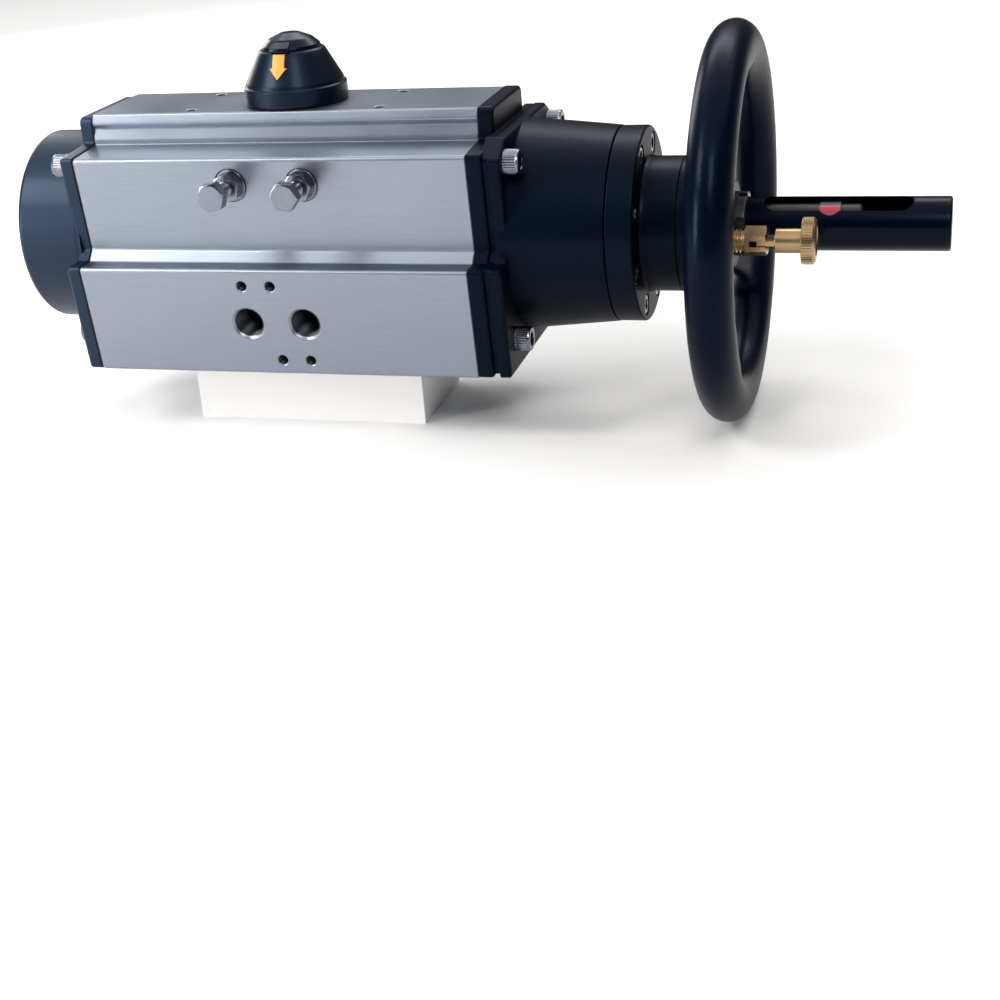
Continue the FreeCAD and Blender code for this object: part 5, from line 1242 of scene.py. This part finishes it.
# ---- Stage ----
SOFT_LIGHTS = (                      # name, place, size and power
    ("high left", (-0.72, -0.60, 0.89), (0.45, 0.45), 9.5),
    ("front left", (-0.94, -0.82, 0.28), (0.35, 0.45), 9.0),
    ("high front", (0.46, -0.90, 0.89), (0.40, 0.40), 5.0),
    ("behind", (0.00, 0.95, 1.15), (1.40, 0.40), 8.0),
    ("back left", (-0.85, 0.80, 0.35), (0.40, 0.50), 4.0),
)
LIT_POINT = Vector((0.04, 0.0, 0.05))
OVERHEAD_DIRECTION, OVERHEAD_ANGLE = Vector((0.0, -0.20, -1.0)), 100


def make_floor(paint):
    """A pale floor under the wheel, with a low pedestal under the valve face."""
    wide, table_x, table_y, low, high = 6000.0, 50.0, 25.0, WHEEL_LOW.z - 1.0, -0.4
    verts = [(side_x * x, side_y * y, z)
             for x, y, z in ((wide, wide, low), (table_x, table_y, low), (table_x, table_y, high))
             for side_x, side_y in ((-1, -1), (1, -1), (1, 1), (-1, 1))]
    faces = [(8, 9, 10, 11)]
    for ring in (0, 4):
        for k in range(4):
            after = ring + (k + 1) % 4
            faces.append((ring + k, after, after + 4, ring + 4 + k))
    floor = new_object("floor", verts, faces)
    floor.data.materials.append(paint)


def point_lamp(obj, direction):
    """Turns a lamp to shine along a direction."""
    obj.rotation_euler = direction.to_track_quat("-Z", "Y").to_euler()


def make_lights(settings):
    """One broad even light from above, and the soft lights round the piece."""
    sun = bpy.data.lights.new("even overhead", "SUN")
    sun.energy = settings.floor_light
    sun.angle = math.radians(OVERHEAD_ANGLE)
    point_lamp(add_object("even overhead", sun), OVERHEAD_DIRECTION)
    for name, place, size, power in SOFT_LIGHTS:
        lamp = bpy.data.lights.new(name, "AREA")
        lamp.shape = "RECTANGLE"
        lamp.size, lamp.size_y = size
        lamp.energy = power * settings.light_power
        obj = add_object(name, lamp)
        obj.location = place
        obj.visible_camera = False
        point_lamp(obj, LIT_POINT - Vector(place))


def make_camera(settings):
    """The camera, from its place and the three angles of its line of sight."""
    az, el, roll = settings.azimuth, settings.elevation, settings.roll
    ahead = -Vector((math.sin(az) * math.cos(el), -math.cos(az) * math.cos(el), math.sin(el)))
    right = ahead.cross(Vector((0, 0, 1))).normalized()
    up = right.cross(ahead)
    x_axis = math.cos(roll) * right + math.sin(roll) * up
    y_axis = -math.sin(roll) * right + math.cos(roll) * up
    lens = bpy.data.cameras.new("camera")
    lens.lens = settings.lens
    lens.sensor_width = 36.0
    lens.clip_start = 0.01
    camera = add_object("camera", lens)
    turn = Matrix((x_axis, y_axis, -ahead)).transposed().to_4x4()
    camera.matrix_world = Matrix.Translation(Vector(settings.camera_place)) @ turn
    bpy.context.scene.camera = camera


def make_world(settings):
    """The weak even light around."""
    world = bpy.data.worlds.new("studio")
    bpy.context.scene.world = world
    world.use_nodes = True
    sky = world.node_tree.nodes["Background"]
    sky.inputs["Color"].default_value = (*settings.sky_color, 1.0)
    sky.inputs["Strength"].default_value = settings.sky_strength


def make_stage(settings):
    """The floor with its finish, the surround, the camera and the lights."""
    view = bpy.context.scene.view_settings
    view.view_transform, view.look = "Standard", "None"
    paint, tree, shader = blank_material("Pale floor", 0.0, Roughness=0.9)
    marks = handling(tree, (-900, 0), Patch_Scale=4.0, Speck_Scale=300.0)
    pale, worn = tint(settings.floor_color, 1.0), tint(settings.floor_color, 0.99)
    fill(tree, shader, {"Base Color": colour_between(tree, marks["Patches"], worn, pale, (-400, 100))})
    make_floor(paint)
    make_world(settings)
    make_camera(settings)
    make_lights(settings)


# ---- Finishes of the pieces that keep their CAD shape ----
def paint_inner(finishes):
    """Every node that still shows its own mesh gets the finish of its slot."""
    coat = {
        "gasket_rubber": moulded("Gasket rubber", (0.012, 0.012, 0.013), 0.72),
        "seal_rubber": moulded("Seal rubber", (0.014, 0.014, 0.015), 0.55, scale=2600.0),
        "bright_steel": machined("Plain steel", finishes.steel_color, 0.3),
        "shaft_steel": machined("Blackened shaft", (0.010, 0.011, 0.014), 0.45, AXIS, 260.0, metallic=0.6),
        "spring_steel": moulded("Spring coating", (0.03, 0.032, 0.04), 0.4, scale=900.0),
        "bearing_bronze": machined("Bearing bronze", (0.45, 0.29, 0.12), 0.38, AXIS, 300.0),
        "piston_alloy": machined("Piston alloy", (0.6, 0.61, 0.63), 0.4, AXIS, 220.0),
        "slide_plastic": moulded("Slide plastic", (0.72, 0.70, 0.62), 0.5),
        "brass": machined("Inner brass", finishes.brass_color, 0.3, LOCK_AXIS, 500.0),
    }
    slots = {row["node"]: row["material_slot"] for row in frame["record"]["subparts"]}
    for name, obj in frame["nodes"].items():
        if obj.hide_render or slots.get(name) not in coat:
            continue
        if not obj.data.materials:
            obj.data.materials.append(None)
        for k in range(len(obj.data.materials)):
            obj.data.materials[k] = coat[slots[name]]


# ---- Settings ----
def colour_prop(name, description, default):
    """A colour that can be picked in the panel."""
    return FloatVectorProperty(name=name, description=description, default=default,
                               subtype="COLOR", size=3, min=0.0, max=1.0)


def number_prop(name, description, default, low, high):
    """A number between two limits."""
    return FloatProperty(name=name, description=description, default=default, min=low, max=high)


def angle_prop(name, description, degrees):
    """An angle, given in degrees."""
    return FloatProperty(name=name, description=description, default=math.radians(degrees), subtype="ANGLE")


class FinishSettings(bpy.types.PropertyGroup):
    """Colours and roughness of the visible finishes"""
    body_color: colour_prop("Housing", "Colour of the anodised housing", (0.242, 0.266, 0.315))
    body_roughness: number_prop("Housing roughness", "How matt the anodising is", 0.36, 0.1, 0.9)
    coating_color: colour_prop("Coating", "Colour of the coated castings", (0.0004, 0.0012, 0.0050))
    coating_roughness: number_prop("Coating roughness", "How matt the coating is", 0.42, 0.1, 0.9)
    wheel_color: colour_prop("Handwheel", "Colour of the handwheel", (0.0005, 0.0016, 0.0075))
    wheel_roughness: number_prop("Handwheel roughness", "How matt the handwheel is", 0.34, 0.05, 0.9)
    steel_color: colour_prop("Steel", "Colour of the plated screws and nuts", (0.20, 0.215, 0.255))
    brass_color: colour_prop("Brass", "Colour of the locking plunger", (0.40, 0.275, 0.15))
    arrow_color: colour_prop("Arrow", "Colour of the position arrow", (0.90, 0.30, 0.032))
    marker_color: colour_prop("Marker", "Colour of the stroke marker in the tube", (0.34, 0.012, 0.045))


class HousingSettings(bpy.types.PropertyGroup):
    """Edges of the housing and of the end castings"""
    end_edge: number_prop("End edge", "Rounding of the sawn ends, in millimetres", 0.3, 0.05, 0.4)
    port_chamfer: number_prop("Port chamfer", "Chamfer at the air ports, in millimetres", 0.9, 0.2, 1.5)
    casting_edge: number_prop("Casting edge", "Rounding of the end plates' outer edges, in millimetres",
                              1.4, 0.2, 1.5)
    pot_edge: number_prop("Pot edge", "Rounding of the spring pot's outer edge, in millimetres",
                          2.5, 0.5, 6.0)
    joint_edge: number_prop("Joint edge", "Chamfer where bonnet and cover meet, in millimetres",
                            0.5, 0.1, 0.8)


class FastenerSettings(bpy.types.PropertyGroup):
    """Screws and travel stops"""
    spin: number_prop("Spin", "How far the socket screws may be turned, in degrees", 60.0, 0.0, 60.0)
    thread_pitch: number_prop("Stop pitch", "Thread pitch of the stop bolts, in millimetres", 1.0, 0.5, 1.5)


class WheelSettings(bpy.types.PropertyGroup):
    """Shape of the handwheel casting"""
    spoke_half_width: number_prop("Spoke half width", "Half the width of a spoke, in millimetres",
                                  10.0, 6.0, 14.0)
    spoke_half_height: number_prop("Spoke half depth", "Half the thickness of a spoke, in millimetres",
                                   3.5, 2.0, 5.0)
    root_fillet: number_prop("Root fillet", "Blend of a spoke into the web, in millimetres", 6.0, 1.0, 12.0)
    rim_fillet: number_prop("Rim fillet", "Blend of a spoke into the rim, in millimetres", 8.0, 1.0, 14.0)
    mesh_step: number_prop("Mesh step", "Size of the wheel's mesh faces, in millimetres", 1.2, 0.8, 3.0)


class OverrideSettings(bpy.types.PropertyGroup):
    """Position tube, locking plunger and springs"""
    slot_width: number_prop("Slot width", "Width of the tube's slot, in millimetres", 10.0, 4.0, 12.0)
    neck_pitch: number_prop("Neck pitch", "Thread pitch of the plunger's neck, in millimetres", 1.4, 0.8, 2.0)
    knurl_count: IntProperty(name="Knurl ridges", description="Ridges round the plunger's knob",
                             default=54, min=24, max=90)
    left_turns: number_prop("Left turns", "Turns of the left return spring", 5.5, 3.0, 9.0)
    right_turns: number_prop("Right turns", "Turns of the right return spring", 7.5, 3.0, 9.0)


class StageSettings(bpy.types.PropertyGroup):
    """Floor, lights and camera"""
    floor_color: colour_prop("Floor", "Colour of the floor", (0.90, 0.885, 0.865))
    sky_color: colour_prop("Surround", "Colour of the even light around", (0.80, 0.865, 0.95))
    sky_strength: number_prop("Surround strength", "Strength of the even light around", 0.11, 0.0, 3.0)
    floor_light: number_prop("Overhead strength", "Strength of the even light from above", 2.0, 0.0, 10.0)
    light_power: number_prop("Light power", "Power scale of the soft lights", 1.0, 0.0, 10.0)
    lens: FloatProperty(name="Lens", description="Focal length of the camera", default=60.91,
                        min=20.0, max=200.0, subtype="DISTANCE_CAMERA")
    azimuth: angle_prop("Azimuth", "Camera's angle about the upright, from the front", 16.74)
    elevation: angle_prop("Elevation", "Camera's angle above the level", 24.18)
    roll: angle_prop("Roll", "Camera's turn about its own line of sight", -4.42)
    camera_place: FloatVectorProperty(name="Camera place", description="Where the camera stands",
                                      default=(0.264658, -0.640837, 0.226969),
                                      subtype="TRANSLATION", unit="LENGTH")


GROUPS = {"finishes": FinishSettings, "housing": HousingSettings, "fasteners": FastenerSettings,
          "wheel": WheelSettings, "override": OverrideSettings, "stage": StageSettings}


class ActuatorSettings(bpy.types.PropertyGroup):
    """All settings of the actuator"""
    finishes: PointerProperty(type=FinishSettings, name="Finishes")
    housing: PointerProperty(type=HousingSettings, name="Housing")
    fasteners: PointerProperty(type=FastenerSettings, name="Fasteners")
    wheel: PointerProperty(type=WheelSettings, name="Handwheel")
    override: PointerProperty(type=OverrideSettings, name="Override")
    stage: PointerProperty(type=StageSettings, name="Stage")


# ---- Finishes that several groups of pieces share ----
def coating(look):
    """The coating of the end castings, made the first time it is asked for."""
    name = "Black coating"
    return bpy.data.materials.get(name) or coated(name, look.coating_color, look.coating_roughness, 0.03)


def plated(look):
    """The plating of screws and nuts, made the first time it is asked for."""
    name = "Plated steel"
    return bpy.data.materials.get(name) or machined(name, look.steel_color, 0.24)


# ---- Operators ----
class ACTUATOR_OT_housing(bpy.types.Operator):
    """Builds the extruded housing with its ports, pad holes and top holes"""
    bl_idname = "actuator.housing"
    bl_label = "Housing"

    def execute(self, context):
        settings = context.scene.actuator
        look = settings.finishes
        make_housing(settings.housing, anodised("Anodised housing", look.body_color, look.body_roughness))
        return {"FINISHED"}


class ACTUATOR_OT_ends(bpy.types.Operator):
    """Builds the left cap, the right plate and the override's bonnet"""
    bl_idname = "actuator.ends"
    bl_label = "End castings"

    def execute(self, context):
        settings = context.scene.actuator
        look = settings.finishes
        # painted light: the left cap gets a copy of the black coating twice as light and much shinier,
        # standing in for the light falling on its pot
        painted_lit_coating = coated("Satin coating", tint(look.coating_color, 2.0), 0.45, 0.05, shine=0.5)
        make_left_cap(settings.housing, painted_lit_coating)
        make_right_plate(settings.housing, coating(look))
        make_bonnet(settings.housing, coating(look))
        return {"FINISHED"}


class ACTUATOR_OT_cover(bpy.types.Operator):
    """Builds the override's cover with its bearing neck, and the retainer ring"""
    bl_idname = "actuator.cover"
    bl_label = "Cover and retainer"

    def execute(self, context):
        settings = context.scene.actuator
        make_cover(settings.housing, coating(settings.finishes))
        make_retainer(coating(settings.finishes))
        return {"FINISHED"}


class ACTUATOR_OT_screws(bpy.types.Operator):
    """Builds the socket screws of the ends and the cover"""
    bl_idname = "actuator.screws"
    bl_label = "Screws"

    def execute(self, context):
        settings = context.scene.actuator
        steel = plated(settings.finishes)
        make_end_screws(settings.fasteners, steel)
        make_cover_screws(steel, machined("Blackened steel", (0.09, 0.09, 0.10), 0.35))
        return {"FINISHED"}


class ACTUATOR_OT_stops(bpy.types.Operator):
    """Builds the two travel stop bolts with their nuts and washers"""
    bl_idname = "actuator.stops"
    bl_label = "Travel stops"

    def execute(self, context):
        settings = context.scene.actuator
        make_stops(settings.fasteners, plated(settings.finishes))
        return {"FINISHED"}


class ACTUATOR_OT_indicator(bpy.types.Operator):
    """Builds the position indicator with its arrow and rounded top"""
    bl_idname = "actuator.indicator"
    bl_label = "Position indicator"

    def execute(self, context):
        look = context.scene.actuator.finishes
        shell = coated("Indicator shell", (0.0008, 0.0018, 0.0060), 0.36, 0.05,
                       peel=0.08, peel_scale=900.0, shine=0.28)
        top = coated("Indicator top", (0.0008, 0.0018, 0.0066), 0.28, 0.12,
                     peel=0.05, peel_scale=900.0, shine=0.16)
        make_indicator(shell, moulded("Arrow plastic", look.arrow_color, 0.42, 0.06), top)
        return {"FINISHED"}


class ACTUATOR_OT_wheel(bpy.types.Operator):
    """Builds the handwheel casting and the ring nut that holds it"""
    bl_idname = "actuator.wheel"
    bl_label = "Handwheel"

    def execute(self, context):
        settings = context.scene.actuator
        look = settings.finishes
        make_wheel(settings.wheel, coated("Wheel coating", look.wheel_color, look.wheel_roughness, 0.04,
                                          peel=0.05, peel_scale=500.0, shine=0.07))
        make_lock_nut(machined("Blackened nut", (0.05, 0.052, 0.058), 0.28, metallic=0.8))
        return {"FINISHED"}


class ACTUATOR_OT_tube(bpy.types.Operator):
    """Builds the position tube with its plug and the stroke marker inside"""
    bl_idname = "actuator.tube"
    bl_label = "Position tube"

    def execute(self, context):
        settings = context.scene.actuator
        make_tube(settings.override, coated("Gloss black tube", (0.0003, 0.0008, 0.0045), 0.26, 0.06,
                                            peel=0.03, peel_scale=300.0))
        make_plug(coated("Tube plug", (0.0006, 0.0014, 0.0055), 0.28, 0.06, peel=0.05, peel_scale=800.0))
        # the second finish is the marker ring's painted shade
        make_marker(moulded("Marker plastic", settings.finishes.marker_color, 0.35, 0.06),
                    machined("Blackened clip", (0.012, 0.013, 0.016), 0.45, metallic=0.5))
        return {"FINISHED"}


class ACTUATOR_OT_plunger(bpy.types.Operator):
    """Builds the brass locking plunger with its knurled knob"""
    bl_idname = "actuator.plunger"
    bl_label = "Locking plunger"

    def execute(self, context):
        settings = context.scene.actuator
        brass = machined("Brass", settings.finishes.brass_color, 0.26, LOCK_AXIS, 700.0, 5200.0)
        make_plunger_body(settings.override, brass)
        make_knob(settings.override, brass)
        return {"FINISHED"}


class ACTUATOR_OT_springs(bpy.types.Operator):
    """Winds the return springs and the plunger's spring"""
    bl_idname = "actuator.springs"
    bl_label = "Springs"

    def execute(self, context):
        coat = moulded("Spring coat", (0.028, 0.030, 0.040), 0.38, scale=900.0)
        wire = machined("Spring wire", (0.42, 0.42, 0.44), 0.3)
        make_springs(context.scene.actuator.override, coat, wire)
        return {"FINISHED"}


class ACTUATOR_OT_inner(bpy.types.Operator):
    """Finishes the inner pieces that keep the shape of the model"""
    bl_idname = "actuator.inner"
    bl_label = "Inner finishes"

    def execute(self, context):
        paint_inner(context.scene.actuator.finishes)
        return {"FINISHED"}


class ACTUATOR_OT_stage(bpy.types.Operator):
    """Sets up the floor, the soft lights and the camera"""
    bl_idname = "actuator.stage"
    bl_label = "Stage"

    def execute(self, context):
        make_stage(context.scene.actuator.stage)
        return {"FINISHED"}


OPERATORS = (ACTUATOR_OT_housing, ACTUATOR_OT_ends, ACTUATOR_OT_cover, ACTUATOR_OT_screws, ACTUATOR_OT_stops,
             ACTUATOR_OT_indicator, ACTUATOR_OT_wheel, ACTUATOR_OT_tube, ACTUATOR_OT_plunger,
             ACTUATOR_OT_springs, ACTUATOR_OT_inner, ACTUATOR_OT_stage)


class ACTUATOR_PT_panel(bpy.types.Panel):
    """Settings and build steps of the actuator"""
    bl_idname = "ACTUATOR_PT_panel"
    bl_label = "Rotary Actuator"
    bl_space_type = "VIEW_3D"
    bl_region_type = "UI"
    bl_category = "Actuator"

    def draw(self, context):
        settings = context.scene.actuator
        for name, group in GROUPS.items():
            box = self.layout.box()
            box.label(text=name.capitalize())
            for prop in group.__annotations__:
                box.prop(getattr(settings, name), prop)
        for kind in OPERATORS:
            self.layout.operator(kind.bl_idname)


CLASSES = (*GROUPS.values(), ActuatorSettings, *OPERATORS, ACTUATOR_PT_panel)


def register():
    """Adds the classes, and the settings to every scene."""
    for kind in CLASSES:
        bpy.utils.register_class(kind)
    bpy.types.Scene.actuator = PointerProperty(type=ActuatorSettings)


def unregister():
    """Takes the settings and the classes away again."""
    del bpy.types.Scene.actuator
    for kind in reversed(CLASSES):
        bpy.utils.unregister_class(kind)


def main():
    """Builds every group in order."""
    register()
    steps = bpy.ops.actuator
    steps.housing()
    steps.ends()
    steps.cover()
    steps.screws()
    steps.stops()
    steps.indicator()
    steps.wheel()
    steps.tube()
    steps.plunger()
    steps.springs()
    steps.inner()
    steps.stage()


if __name__ == "__main__":
    main()
